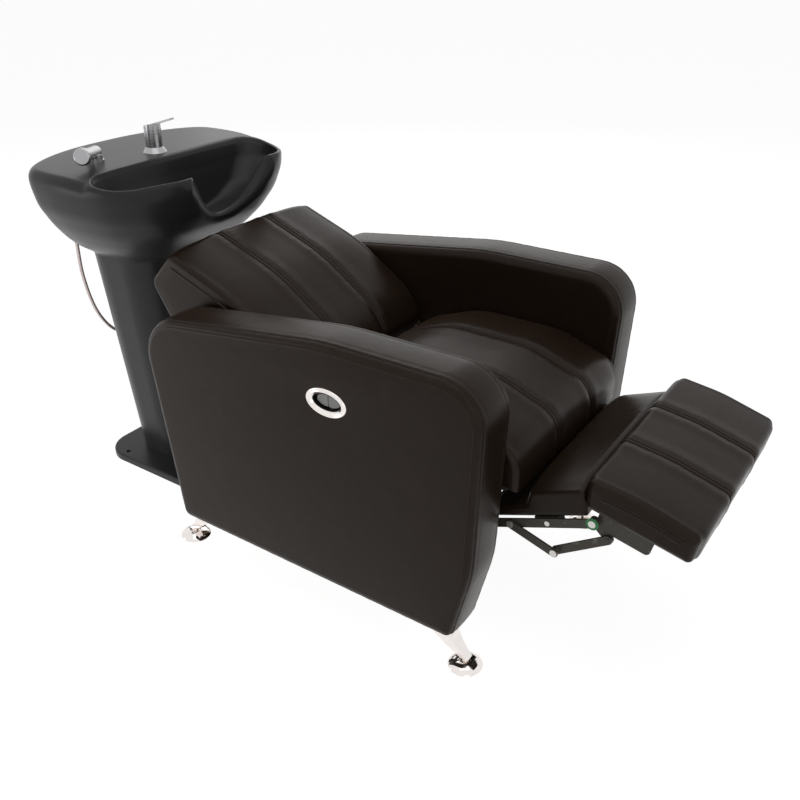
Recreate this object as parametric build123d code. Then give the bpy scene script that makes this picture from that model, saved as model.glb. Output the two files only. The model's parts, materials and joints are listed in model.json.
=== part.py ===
from build123d import *
import math
import os

# Hair washing bed: a reclining armchair with its footrest out, and a pedestal shampoo basin behind it.
# Millimetres. X runs across the chair, the sitter's left is +X. The footrest is towards -Y, the basin
# towards +Y, and Z is up from the floor. The origin is under the middle of the whole unit.

# Whole chair
CHAIR_HALF_WIDTH = 350.0
ARM_THICKNESS = 113.0
ARM_FRONT_Y = -490.0
ARM_LENGTH = 822.0
ARM_BASE_Z = 107.0
ARM_HEIGHT = 555.0
ARM_FOAM = 12.0
ARM_PANEL_THICKNESS = 12.0
ARM_PANEL_INSET = 6.0
ARM_BAND_ROUND = 7.0
ARM_PANEL_ROUND = 9.0
# Share of the length from the front, share of the height from the base, share of the height as radius
ARM_OUTLINE_SHARES = [
    (0.064, 0.000, 0.030),
    (0.016, 0.300, 0.550),
    (0.000, 1.000, 0.155),
    (0.420, 0.995, 1.100),
    (1.008, 0.872, 0.185),
    (0.935, 0.000, 0.040),
]

# Clearances and fits
CUT_OVERRUN = 2.0
PIN_FIT = 0.05
SOFT_GAP = 0.3
LAYER_GAP = 1.0
LOWEST = (Align.CENTER, Align.CENTER, Align.MIN)

# Seat
SEAT_SIDE_GAP = 5.0
SEAT_FRONT_PROUD = 19.0
SEAT_LENGTH = 477.0
SEAT_BASE_Z = 402.0
SEAT_THICKNESS = 146.0
SEAT_SIDE_DROP = 27.0
SEAT_SIDE_DRAW = 9.0
SEAT_PROFILE_SHARES = [
    (0.000, 0.000, 0.040),
    (0.000, 0.640, 0.450),
    (0.300, 1.000, 1.600),
    (0.720, 0.990, 1.600),
    (0.985, 0.640, 0.300),
    (0.985, 0.000, 0.040),
]
SEAT_BOARD_THICKNESS = 16.0
SEAT_BOARD_FRONT_INSET = 30.0
SEAT_BOARD_REAR_INSET = 14.0
SEAT_BOARD_SIDE_INSET = 3.0

# Crown and sewn channels of every cushion. The drop towards the side is a broad share and an edge share
SEAM_SPACING = 154.0
SEAM_HALF_WIDTH = 5.0
SEAM_DEPTH = 3.5
BROAD_CROWN_SHARE = 0.30
BROAD_CROWN_POWER = 2
EDGE_CROWN_POWER = 12
STATION_SHARES = (0.16, 0.52, 0.70, 0.83, 0.92, 0.97, 0.992, 1.00)

# Back, drawn in the reclined place that it has in the rest pose
BACK_SIDE_GAP = 5.0
BACK_SEAT_GAP = 30.0
BACK_FOOT_Z = 428.0
BACK_REACH = 430.0
BACK_RISE = 270.0
BACK_SIDE_DROP = 16.0
BACK_SIDE_DRAW = 8.0
BACK_PROFILE_SHARES = [
    (0.040, 0.000, 0.090),
    (0.000, 0.170, 0.130),
    (0.075, 0.400, 0.600),
    (0.420, 0.770, 1.500),
    (0.835, 1.010, 0.090),
    (1.005, 0.715, 0.110),
    (0.800, 0.190, 0.120),
    (0.330, 0.010, 0.300),
]
BACK_BOARD_THICKNESS = 16.0
BACK_BOARD_LENGTH = 330.0
BACK_BOARD_SIDE_INSET = 17.0
BACK_BOARD_TILT = 31.0
BACK_BOARD_START_SHARES = (0.130, 0.110)
BACK_PIVOT_INSET = 27.0
BACK_PIVOT_RISE = 12.0

# Footrest, in its own tilted frame: along from its back edge, up from its top face
FOOTREST_BACK_TOP = (-628.0, 494.0)
FOOTREST_TILT = 12.2
FOOTREST_LENGTH = 216.0
FOOTREST_SIDE_GAP = 2.0
FOOTREST_THICKNESS = 63.0
FOOTREST_CORNER = 24.0
CORNER_FULL_SHARE = 0.96
FOOTREST_SIDE_DROP = 3.0
FOOTREST_PROFILE_SHARES = [
    (0.060, -1.000, 0.160),
    (0.000, 0.000, 0.240),
    (0.450, 0.120, 5.000),
    (1.000, 0.000, 0.240),
    (1.010, -1.000, 0.140),
]
FOOTREST_BOARD_THICKNESS = 10.0
FOOTREST_BOARD_BACK = 40.0
FOOTREST_BOARD_INSET = 12.0

# Bridge pad, along the long bar from its rear pin and square to it
BRIDGE_SIDE_GAP = 14.0
BRIDGE_START = 44.0
BRIDGE_END = 240.0
BRIDGE_BASE = 24.0
BRIDGE_THICKNESS = 61.0
BRIDGE_SIDE_DROP = 26.0
BRIDGE_PROFILE_SHARES = [
    (0.000, 0.000, 0.100),
    (0.000, 0.360, 0.150),
    (0.385, 0.420, 0.050),
    (0.470, 1.000, 0.200),
    (1.020, 1.000, 0.200),
    (0.965, 0.000, 0.100),
]
BRIDGE_BOARD_THICKNESS = 12.0
BRIDGE_BOARD_INSET = 6.0
CLEAT_START = 130.0
CLEAT_LENGTH = 50.0
CLEAT_WIDTH = 20.0

# Footrest linkage, pivots as (y, z) with the footrest out
CRANK_PIVOT = (-294.0, 266.0)
YOKE_PIN = (-420.0, 304.0)
BAR_END_PIN = (-647.0, 396.0)
SHORT_LINK_PIN = (-492.0, 333.0)
KNEE_PIN = (-583.0, 306.0)
SCISSOR_PIN = (-676.0, 369.0)
LINK_THICKNESS = 4.0
BAR_WIDTH = 18.0
LINK_WIDTH = 17.0
CRANK_WIDTH = 24.0
LINKAGE_SIDE_GAP = 2.0
PIN_RADIUS = 5.0
KNEE_PIN_RADIUS = 4.0
KNEE_SPACER_RADIUS = 6.0
CRANK_PIN_RADIUS = 6.0
PIVOT_HEAD_RADIUS = 9.0
RIVET_HEAD_RADIUS = 7.0
RIVET_HEAD_HEIGHT = 1.4
LOW_HEAD_HEIGHT = 0.8
YOKE_ROD_RADIUS = 8.0
WASHER_RADIUS = 12.0
WASHER_HEIGHT = 1.0
BRACKET_END_RADIUS = 9.0
BRACKET_LIP_START = 42.0
BRACKET_LIP_LENGTH = 104.0
BRACKET_LIP_WIDTH = 28.0
BRACKET_DEPTH = 39.0

# Steel chassis between the arms
RAIL_THICKNESS = 5.0
RAIL_TOP_Z = 402.0
RAIL_DEPTH = 52.0
RAIL_FRONT_INSET = 95.0
RAIL_BACK_REACH = 135.0
RAIL_LUG_WIDTH = 44.0
RAIL_LUG_RUN = 66.0
RAIL_EAR_RADIUS = 16.0
RAIL_EAR_ROOM = 4.0
RAIL_FLANGE_WIDTH = 24.0
RAIL_FLANGE_THICKNESS = 4.0
CROSS_TUBE_RADIUS = 12.0
CROSS_TUBE_WALL = 2.0
CROSS_TUBE_Y = -215.0
STRETCHER_THICKNESS = 22.0
STRETCHER_HEIGHT = 100.0
STRETCHER_BACK_INSET = 70.0
BACK_BRACKET_THICKNESS = 4.0
BACK_BRACKET_WIDTH = 34.0
BACK_BRACKET_LENGTH = 150.0
BACK_BRACKET_FOOT = 75.0
BACK_PIN_RADIUS = 6.0

# Legs
LEG_SIDE_INSET = 60.0
LEG_FRONT_INSET = 112.0
LEG_BACK_INSET = 84.0
LEG_SPLAY = 67.0
LEG_TOP_LENGTH = 56.0
LEG_TOP_WIDTH = 52.0
LEG_FOOT_LENGTH = 22.0
LEG_FOOT_WIDTH = 22.0
LEG_FOOT_Z = 24.0
LEG_BOW = 10.0
LEG_EDGE = 3.0
GLIDE_RADIUS = 36.0
GLIDE_RIM = 3.0
GLIDE_DOME = 14.0
# Point of the dome's curve, as shares of the radius and of the dome's height
GLIDE_DOME_SHARES = (0.72, 0.62)
GLIDE_NECK_RADIUS = 8.0
LEG_BOLT_RADIUS = 4.0
LEG_BOLT_LENGTH = 44.0
LEG_BOLT_SINK = 10.0
LEG_BOLT_SPACING = 26.0

# Release handle in the outer face of the sitter's right arm
HANDLE_FRONT_INSET = 326.0
HANDLE_DROP = 117.0
HANDLE_LENGTH = 94.0
HANDLE_HEIGHT = 58.0
HANDLE_MOUTH_LENGTH = 64.0
HANDLE_MOUTH_HEIGHT = 32.0
HANDLE_PROUD = 5.0
HANDLE_EDGE = 4.0
HANDLE_DEPTH = 26.0
HANDLE_WALL = 2.0
PADDLE_THICKNESS = 4.0
PADDLE_LENGTH = 26.0
PADDLE_HEIGHT = 24.0
PADDLE_INSET = 6.0
PADDLE_SPLIT = 4.0
PADDLE_WEB_WIDTH = 6.0
PADDLE_HUB_HEIGHT = 17.0
# Oval that trims the two pads, as shares of the mouth's length and height
PADDLE_OVAL_SHARES = (0.84, 0.80)
HANDLE_PIN_RADIUS = 2.0
PADDLE_HUB_RADIUS = 4.5
CABLE_RADIUS = 3.0

# Pedestal
BASE_HALF_WIDTH = 168.0
BASE_FRONT_REACH = 310.0
BASE_BACK_REACH = 147.0
BASE_THICKNESS = 18.0
BASE_CORNER = 76.0
BASE_EDGE = 5.0
ANCHOR_RADIUS = 6.0
ANCHOR_SPACING_X = 290.0
ANCHOR_SPACING_Y = 300.0
COLUMN_BEHIND_BACK = 657.0
COLUMN_TOP_Z = 600.0
COLUMN_TOP_SIZE = (300.0, 256.0)
COLUMN_FOOT_SIZE = (200.0, 196.0)
COLUMN_TOP_CORNER = 100.0
COLUMN_FOOT_CORNER = 76.0
COLUMN_WALL = 5.0
COVER_LOW_Z = 110.0
COVER_HEIGHT = 250.0
COVER_WIDTH = 84.0
COVER_THICKNESS = 3.0
COVER_LAP = 7.0
COVER_CORNER = 8.0
STRAP_X = 120.0
STRAP_WIDTH = 50.0
STRAP_THICKNESS = 5.0
STRAP_TOP_SHARE = 0.8
STRAP_BASE_LAP = 85.0

# Basin
DECK_Z = 827.0
BASIN_WALL = 6.0
# Outline of the rim as shares of its half width and of its reach before and behind the column's middle
BASIN_HALF_WIDTH = 284.0
BASIN_FRONT_REACH = 300.0
BASIN_BACK_REACH = 174.0
RIM_ARC_SHARES = [
    ((0.000, 1.000), (0.440, 0.945), (0.817, 0.695)),
    ((0.817, 0.695), (0.944, 0.534), (0.989, 0.259)),
    ((0.989, 0.259), (1.000, -0.215), (0.944, -0.600)),
    ((0.944, -0.600), (0.796, -0.790), (0.581, -0.957)),
    ((0.581, -0.957), (0.528, -0.993), (0.458, -1.000)),
]
# Height above the column as a share of the hull's height, then shares of half width, front and back reach
HULL_SHARES = [
    (0.000, 0.530, 0.440, 0.740),
    (0.088, 0.650, 0.543, 0.782),
    (0.220, 0.765, 0.667, 0.839),
    (0.396, 0.870, 0.800, 0.908),
    (0.617, 0.965, 0.917, 0.971),
    (0.837, 1.000, 0.987, 1.000),
    (1.000, 0.997, 0.997, 0.997),
]
BOWL_BACK_BEFORE_COLUMN = 91.0
BOWL_LENGTH = 188.0
RIM_LIP = 10.0
BOWL_HALF_WIDTH = 264.0
BOWL_DEPTH = 138.0
# Depth share, half width share, front and back inset shares of the bowl's length, corner share
BOWL_SHARES = [
    (0.000, 1.000, 0.000, 0.000, 0.560),
    (0.330, 0.950, 0.080, 0.030, 0.640),
    (0.700, 0.760, 0.190, 0.090, 0.700),
    (0.930, 0.480, 0.330, 0.130, 0.740),
    (1.000, 0.300, 0.460, 0.150, 0.700),
]
NOTCH_HALF_WIDTH = 134.0
NOTCH_DEPTH = 112.0
NOTCH_LENGTH = 130.0
DRAIN_HOLE_RADIUS = 22.0
DRAIN_FLANGE_RADIUS = 29.0
DRAIN_FLANGE_HEIGHT = 3.0
DRAIN_TAIL_LENGTH = 26.0
DRAIN_WALL = 3.0
STRAINER_RADIUS = 17.0
STRAINER_HEIGHT = 8.0
STRAINER_HOLE_RADIUS = 2.2
STRAINER_RING_RADIUS = 10.5
STRAINER_HOLES = 8
WASTE_RADIUS = 16.0
WASTE_WALL = 2.0
WASTE_BEND = 30.0
WASTE_BEFORE_COLUMN = 55.0
WASTE_FIRST_DROP = 14.0
WASTE_FALL = 62.0

# Tap, sprayer and their hoses
TAP_BEHIND_BOWL = 56.0
TAP_RADIUS = 20.0
TAP_FOOT_RADIUS = 28.0
TAP_FOOT_HEIGHT = 12.0
TAP_HEIGHT = 44.0
TAP_TAIL_RADIUS = 15.0
TAP_TAIL_LENGTH = 40.0
TAP_CAP_HEIGHT = 6.0
TAP_CAP_GAP = 0.5
TAP_EAR_WIDTH = 8.0
TAP_EAR_HEIGHT = 10.0
TAP_EAR_LENGTH = 10.0
TAP_EAR_BACK = 12.0
LEVER_PIN_RADIUS = 2.0
LEVER_PIN_LENGTH = 24.0
LEVER_HUB_LOW = 8.0
LEVER_HUB_HIGH = 18.0
LEVER_HEEL_RISE = 5.0
LEVER_LENGTH = 74.0
LEVER_WIDTH = 14.0
LEVER_THICKNESS = 4.0
LEVER_RISE = 17.0
LEVER_ROOT_RISE = 11.0
HOLDER_X = -152.0
HOLDER_BEHIND_COLUMN = -5.0
HOLDER_RADIUS = 21.0
HOLDER_HEIGHT = 7.0
HOLDER_BORE = 15.0
HOLDER_TAIL_RADIUS = 18.0
HOLDER_TAIL_LENGTH = 30.0
SPRAYER_STEM_RADIUS = 13.0
SPRAYER_STEM_LENGTH = 46.0
SPRAYER_COLLAR_RADIUS = 18.0
SPRAYER_COLLAR_HEIGHT = 9.0
SPRAYER_AXIS_RISE = 16.0
SPRAYER_GRIP_RADIUS = 14.0
SPRAYER_GRIP_LENGTH = 74.0
SPRAYER_GRIP_BACK = 13.0
SPRAYER_FACE_RADIUS = 19.0
SPRAYER_FACE_LENGTH = 17.0
SPRAYER_FACE_EDGE = 4.0
SPRAYER_LEAN = 84.0
SPRAYER_TURN = 212.0
GLAND_RADIUS = 9.0
GLAND_LENGTH = 46.0
HOSE_RADIUS = 4.5
HOSE_BEND_SHARE = 0.45
# Route of the hanging spray hose, between the two glands under the basin
HOSE_POINTS = [
    (-160.0, 764.0, 630.0),
    (-160.0, 764.0, 602.0),
    (-160.0, 765.0, 572.0),
    (-157.0, 769.0, 540.0),
    (-150.0, 773.0, 504.0),
    (-141.0, 777.0, 466.0),
    (-128.0, 781.0, 426.0),
    (-110.0, 785.0, 390.0),
    (-84.0, 789.0, 354.0),
    (-50.0, 793.0, 326.0),
    (-8.0, 796.0, 314.0),
    (34.0, 798.0, 322.0),
    (70.0, 798.0, 352.0),
    (94.0, 796.0, 396.0),
    (106.0, 791.0, 444.0),
    (111.0, 782.0, 496.0),
    (113.0, 772.0, 548.0),
    (113.0, 768.0, 580.0),
    (113.0, 768.0, 606.0),
]
SUPPLY_SPACING = 16.0
SUPPLY_SPREAD = 96.0
SUPPLY_RADIUS = 6.0
SUPPLY_DROP = 40.0
SUPPLY_SWING = 70.0
SUPPLY_LOW_Z = 60.0
INNER_HOSE_DROP = 24.0
INNER_HOSE_RISE = 20.0
SUPPLY_NUT_RADIUS = 11.0
SUPPLY_NUT_LENGTH = 18.0

# Places that follow from the sizes above
ARM_INNER_X = CHAIR_HALF_WIDTH - ARM_THICKNESS
ARM_BACK_Y = ARM_FRONT_Y + ARM_LENGTH
SEAT_HALF_WIDTH = ARM_INNER_X - SEAT_SIDE_GAP
SEAT_FRONT_Y = ARM_FRONT_Y - SEAT_FRONT_PROUD
BACK_HALF_WIDTH = ARM_INNER_X - BACK_SIDE_GAP
BACK_BOARD_HALF_WIDTH = BACK_HALF_WIDTH - BACK_BOARD_SIDE_INSET
BACK_FOOT_Y = SEAT_FRONT_Y + SEAT_LENGTH + BACK_SEAT_GAP
BACK_PIVOT = (BACK_FOOT_Y + BACK_PIVOT_INSET, BACK_FOOT_Z + BACK_PIVOT_RISE)
FOOTREST_HALF_WIDTH = ARM_INNER_X - FOOTREST_SIDE_GAP
BRIDGE_HALF_WIDTH = ARM_INNER_X - BRIDGE_SIDE_GAP
RAIL_FRONT_Y = ARM_FRONT_Y + RAIL_FRONT_INSET
RAIL_BACK_Y = BACK_PIVOT[0] + RAIL_BACK_REACH
STRETCHER_BACK_Y = ARM_BACK_Y - STRETCHER_BACK_INSET
LEG_X = CHAIR_HALF_WIDTH - LEG_SIDE_INSET
LEG_TOP_FRONT_Y = ARM_FRONT_Y + LEG_FRONT_INSET
LEG_TOP_BACK_Y = ARM_BACK_Y - LEG_BACK_INSET
HANDLE_Y = ARM_FRONT_Y + HANDLE_FRONT_INSET
HANDLE_Z = ARM_BASE_Z + ARM_HEIGHT - HANDLE_DROP
OUTER_LAYER_X = ARM_INNER_X - RAIL_THICKNESS - LINKAGE_SIDE_GAP
BAR_LAYER_X = OUTER_LAYER_X - LINK_THICKNESS - LAYER_GAP
SCISSOR_LAYER_X = BAR_LAYER_X - LINK_THICKNESS - LAYER_GAP
BRACKET_LAYER_X = SCISSOR_LAYER_X - LINK_THICKNESS - LAYER_GAP
COLUMN_FOOT_Z = BASE_THICKNESS
BOWL_FLOOR_Z = DECK_Z - BOWL_DEPTH
COLUMN_Y = BACK_FOOT_Y + COLUMN_BEHIND_BACK
BASE_FRONT_Y = COLUMN_Y - BASE_FRONT_REACH
BASE_BACK_Y = COLUMN_Y + BASE_BACK_REACH
STRAP_RUN_END_Y = BASE_FRONT_Y + STRAP_BASE_LAP
BOWL_BACK_Y = COLUMN_Y - BOWL_BACK_BEFORE_COLUMN
BOWL_FRONT_Y = BOWL_BACK_Y - BOWL_LENGTH
TAP_Y = BOWL_BACK_Y + TAP_BEHIND_BOWL
HOLDER_Y = COLUMN_Y + HOLDER_BEHIND_COLUMN
WASTE_DROP_Y = COLUMN_Y - WASTE_BEFORE_COLUMN
DRAIN_Y = BOWL_FRONT_Y + BOWL_LENGTH * (1 + BOWL_SHARES[-1][2] - BOWL_SHARES[-1][3]) / 2
SIDES = {"right": -1, "left": 1}


def share_points(shares, start, lengths):
    """Turns rows of (along share, up share, radius share) into real points and radii."""
    points = [(start[0] + row[0] * lengths[0], start[1] + row[1] * lengths[1]) for row in shares]
    radii = [row[2] * lengths[1] for row in shares]
    return points, radii


def side_outline(points, radii):
    """A closed outline with rounded corners in the side view, where x is Y and y is Z."""
    return Plane.YZ * make_face(FilletPolyline(*points, radius=radii, close=True))


def across(face, low_x, high_x):
    """Carries a side view outline across the chair from low_x to high_x."""
    return extrude(Pos(low_x, 0, 0) * face, amount=high_x - low_x, dir=(1, 0, 0))


def pin(centre, radius, low_x, high_x):
    """A round pin across the chair at a side view point."""
    place = Pos((low_x + high_x) / 2, *centre) * Rot(0, 90, 0)
    return place * Cylinder(radius, high_x - low_x)


def on_side(solid, side):
    """Keeps a piece drawn on the +X side, or mirrors it to the other side."""
    return solid if SIDES[side] > 0 else mirror(solid, about=Plane.YZ)


def joined(solids):
    """Separate solids of one node."""
    return Compound(children=list(solids))


def link(start, end, width, low_x, high_x, holes):
    """A flat steel link with round ends and holes given as (point, radius)."""
    length = math.dist(start, end)
    middle = ((start[0] + end[0]) / 2, (start[1] + end[1]) / 2)
    turn = math.degrees(math.atan2(end[1] - start[1], end[0] - start[0]))
    face = Plane.YZ * (Pos(*middle) * Rot(0, 0, turn) * SlotCenterToCenter(length, width))
    bar = across(face, low_x, high_x)
    for point, radius in holes:
        bar -= pin(point, radius, low_x - CUT_OVERRUN, high_x + CUT_OVERRUN)
    return bar


def bar_frame():
    """Rear pin, direction and square direction of the long bar in the side view."""
    along = Vector(BAR_END_PIN[0] - YOKE_PIN[0], BAR_END_PIN[1] - YOKE_PIN[1]).normalized()
    return Vector(*YOKE_PIN), along, Vector(-along.Y, along.X) * -1


def bar_point(distance, height):
    """A side view point at a distance along the long bar and a height square to it."""
    origin, along, square = bar_frame()
    place = origin + along * distance + square * height
    return place.X, place.Y


def footrest_point(along, up):
    """A side view point in the footrest's tilted frame."""
    tilt = math.radians(FOOTREST_TILT)
    return (
        FOOTREST_BACK_TOP[0] - along * math.cos(tilt) - up * math.sin(tilt),
        FOOTREST_BACK_TOP[1] - along * math.sin(tilt) + up * math.cos(tilt),
    )


def crown(share):
    """How far a cushion has fallen at a share of its half width, from 0 in the middle to 1 at the side."""
    broad = BROAD_CROWN_SHARE * share ** BROAD_CROWN_POWER
    return broad + (1 - BROAD_CROWN_SHARE) * share ** EDGE_CROWN_POWER


def cushion(profile, half_width, seams=True):
    """Straight loft of side view profiles across the width, drawn in at the sides and at the two seams."""
    seam = SEAM_SPACING / 2
    rows = [(share * half_width, 0) for share in STATION_SHARES]
    if seams:
        rows += [(seam - SEAM_HALF_WIDTH, 0), (seam, SEAM_DEPTH), (seam + SEAM_HALF_WIDTH, 0)]
    rows += [(-x, groove) for x, groove in rows]
    faces = [Pos(x, 0, 0) * profile(abs(x) / half_width, groove) for x, groove in sorted(rows)]
    return loft(faces, ruled=True)


# Arms
def arm_outline(inset):
    points, radii = share_points(ARM_OUTLINE_SHARES, (ARM_FRONT_Y, ARM_BASE_Z), (ARM_LENGTH, ARM_HEIGHT))
    outline = side_outline(points, radii)
    return offset(outline, amount=-inset) if inset else outline


def arm_core():
    low_x = ARM_INNER_X + ARM_PANEL_THICKNESS
    return across(arm_outline(ARM_FOAM), low_x, CHAIR_HALF_WIDTH - ARM_PANEL_THICKNESS)


def arm_band():
    low_x = ARM_INNER_X + ARM_PANEL_THICKNESS
    high_x = CHAIR_HALF_WIDTH - ARM_PANEL_THICKNESS
    outer = across(arm_outline(0), low_x, high_x)
    outer = fillet(outer.faces().filter_by(Axis.X).edges(), ARM_BAND_ROUND)
    return outer - across(arm_outline(ARM_FOAM), low_x - CUT_OVERRUN, high_x + CUT_OVERRUN)


def arm_panel(outer_side):
    inner = ARM_INNER_X
    outer = CHAIR_HALF_WIDTH - ARM_PANEL_THICKNESS
    low_x = outer if outer_side else inner
    panel = across(arm_outline(ARM_PANEL_INSET), low_x, low_x + ARM_PANEL_THICKNESS)
    showing = panel.faces().sort_by(Axis.X)[-1 if outer_side else 0]
    return fillet(showing.edges(), ARM_PANEL_ROUND)


def handle_oval(length, height, low_x, high_x):
    face = Plane.YZ * (Pos(HANDLE_Y, HANDLE_Z) * Ellipse(length / 2, height / 2))
    return across(face, low_x, high_x)


def handle_pocket():
    low_x = -CHAIR_HALF_WIDTH - CUT_OVERRUN
    size = (HANDLE_MOUTH_LENGTH + 2 * HANDLE_WALL, HANDLE_MOUTH_HEIGHT + 2 * HANDLE_WALL)
    return handle_oval(*size, low_x, -CHAIR_HALF_WIDTH + HANDLE_DEPTH)


def cable_path(low_x, high_x):
    return pin((HANDLE_Y, HANDLE_Z), CABLE_RADIUS, low_x, high_x)


def cable_hole():
    return pin((HANDLE_Y, HANDLE_Z), CABLE_RADIUS + PIN_FIT, -CHAIR_HALF_WIDTH, -ARM_INNER_X + CUT_OVERRUN)


def arms():
    nodes = {}
    for side in SIDES:
        pieces = {
            "arm_core": arm_core(),
            "arm_band": arm_band(),
            "arm_outer_panel": arm_panel(True),
            "arm_inner_panel": arm_panel(False),
        }
        for name, solid in pieces.items():
            placed = on_side(solid, side)
            if side == "right" and name != "arm_band":
                placed = placed - handle_pocket() - cable_hole()
            if name in ("arm_core", "arm_band"):
                placed -= joined(leg_bolt_holes(side))
            nodes[side + "_" + name] = placed
    return nodes


# Release handle
def handle_bezel():
    face_x = -CHAIR_HALF_WIDTH
    ring = handle_oval(HANDLE_LENGTH, HANDLE_HEIGHT, face_x - HANDLE_PROUD, face_x)
    ring = fillet(ring.faces().sort_by(Axis.X)[0].edges(), HANDLE_EDGE)
    low_x = face_x - HANDLE_PROUD - CUT_OVERRUN
    return ring - handle_oval(HANDLE_MOUTH_LENGTH, HANDLE_MOUTH_HEIGHT, low_x, face_x + CUT_OVERRUN)


def handle_cup():
    face_x = -CHAIR_HALF_WIDTH
    size = (HANDLE_MOUTH_LENGTH, HANDLE_MOUTH_HEIGHT)
    outer = handle_oval(size[0] + 2 * HANDLE_WALL, size[1] + 2 * HANDLE_WALL, face_x, face_x + HANDLE_DEPTH)
    inner = handle_oval(*size, face_x - CUT_OVERRUN, face_x + HANDLE_DEPTH - HANDLE_WALL)
    pin_hole = handle_pin_solid(HANDLE_PIN_RADIUS + PIN_FIT)
    return outer - inner - pin_hole - cable_hole()


def handle_pin_solid(radius):
    x = -CHAIR_HALF_WIDTH + HANDLE_DEPTH / 2
    length = HANDLE_MOUTH_HEIGHT + HANDLE_WALL
    return Pos(x, HANDLE_Y, HANDLE_Z) * Cylinder(radius, length)


def handle_paddle():
    """Two finger pads on a rocking hub that turns on the upright pin."""
    face_x = -CHAIR_HALF_WIDTH + PADDLE_INSET
    hub_x = -CHAIR_HALF_WIDTH + HANDLE_DEPTH / 2
    plate = Pos(face_x + PADDLE_THICKNESS / 2, HANDLE_Y, HANDLE_Z)
    pads = plate * Box(PADDLE_THICKNESS, 2 * PADDLE_LENGTH, PADDLE_HEIGHT)
    size = (HANDLE_MOUTH_LENGTH * PADDLE_OVAL_SHARES[0], HANDLE_MOUTH_HEIGHT * PADDLE_OVAL_SHARES[1])
    pads &= handle_oval(*size, face_x, hub_x)
    outer = (Align.MAX, Align.CENTER, Align.CENTER)
    pads -= plate * Box(PADDLE_THICKNESS / 2, PADDLE_SPLIT, PADDLE_HEIGHT + CUT_OVERRUN, align=outer)
    hub = Pos(hub_x, HANDLE_Y, HANDLE_Z) * Cylinder(PADDLE_HUB_RADIUS, PADDLE_HUB_HEIGHT)
    web = Pos((face_x + hub_x) / 2 + PADDLE_THICKNESS / 2, HANDLE_Y, HANDLE_Z)
    web *= Box(hub_x - face_x - PADDLE_THICKNESS / 2, PADDLE_WEB_WIDTH, PADDLE_HUB_HEIGHT)
    return pads + hub + web - handle_pin_solid(HANDLE_PIN_RADIUS + PIN_FIT)


def release_cable():
    return cable_path(-CHAIR_HALF_WIDTH + HANDLE_DEPTH - HANDLE_WALL, -ARM_INNER_X)


# Seat
def seat_profile(share, groove):
    pull = SEAT_SIDE_DRAW * crown(share) + groove
    start = (SEAT_FRONT_Y + pull, SEAT_BASE_Z)
    size = (SEAT_LENGTH - 2 * pull, SEAT_THICKNESS - SEAT_SIDE_DROP * crown(share) - groove)
    return side_outline(*share_points(SEAT_PROFILE_SHARES, start, size))


def seat_board():
    front_y = SEAT_FRONT_Y + SEAT_BOARD_FRONT_INSET
    back_y = SEAT_FRONT_Y + SEAT_LENGTH - SEAT_BOARD_REAR_INSET
    half = SEAT_HALF_WIDTH - SEAT_BOARD_SIDE_INSET
    board = Pos(0, (front_y + back_y) / 2, SEAT_BASE_Z + SEAT_BOARD_THICKNESS / 2)
    return board * Box(2 * half, back_y - front_y, SEAT_BOARD_THICKNESS)


def seat_cushion():
    return cushion(seat_profile, SEAT_HALF_WIDTH) - seat_board()


# Back
def back_profile(share, groove):
    pull = BACK_SIDE_DRAW * crown(share)
    start = (BACK_FOOT_Y + pull, BACK_FOOT_Z)
    size = (BACK_REACH - 2 * pull, BACK_RISE - BACK_SIDE_DROP * crown(share) - groove)
    return side_outline(*share_points(BACK_PROFILE_SHARES, start, size))


def back_board():
    """Plywood board inside the back cushion, tilted as the cushion's face is."""
    start = (
        BACK_FOOT_Y + BACK_BOARD_START_SHARES[0] * BACK_REACH,
        BACK_FOOT_Z + BACK_BOARD_START_SHARES[1] * BACK_RISE,
    )
    place = Pos(0, *start) * Rot(BACK_BOARD_TILT, 0, 0)
    align = (Align.CENTER, Align.MIN, Align.MIN)
    return place * Box(2 * BACK_BOARD_HALF_WIDTH, BACK_BOARD_LENGTH, BACK_BOARD_THICKNESS, align=align)


def back_bracket():
    """Steel plate on the side of the back board that carries the recline pin, and its turned-in foot."""
    tilt = math.radians(BACK_BOARD_TILT)
    high_x = ARM_INNER_X - RAIL_THICKNESS - LAYER_GAP
    low_x = high_x - BACK_BRACKET_THICKNESS
    end = (
        BACK_PIVOT[0] + BACK_BRACKET_LENGTH * math.cos(tilt),
        BACK_PIVOT[1] + BACK_BRACKET_LENGTH * math.sin(tilt),
    )
    plate = link(BACK_PIVOT, end, BACK_BRACKET_WIDTH, low_x, high_x, [])
    middle = ((BACK_PIVOT[0] + end[0]) / 2, (BACK_PIVOT[1] + end[1]) / 2)
    foot = Pos(0, *middle) * Rot(BACK_BOARD_TILT, 0, 0)
    foot *= Pos((BACK_BOARD_HALF_WIDTH + high_x) / 2, (BACK_BRACKET_LENGTH - BACK_BRACKET_FOOT) / 2, 0)
    foot *= Box(high_x - BACK_BOARD_HALF_WIDTH, BACK_BRACKET_FOOT, BACK_BRACKET_THICKNESS)
    hole = pin(BACK_PIVOT, BACK_PIN_RADIUS + PIN_FIT, low_x - CUT_OVERRUN, high_x + CUT_OVERRUN)
    return plate + foot - hole


def back_cushion(board):
    room = bracket_room()
    return cushion(back_profile, BACK_HALF_WIDTH) - board - room - mirror(room, about=Plane.YZ)


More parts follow.
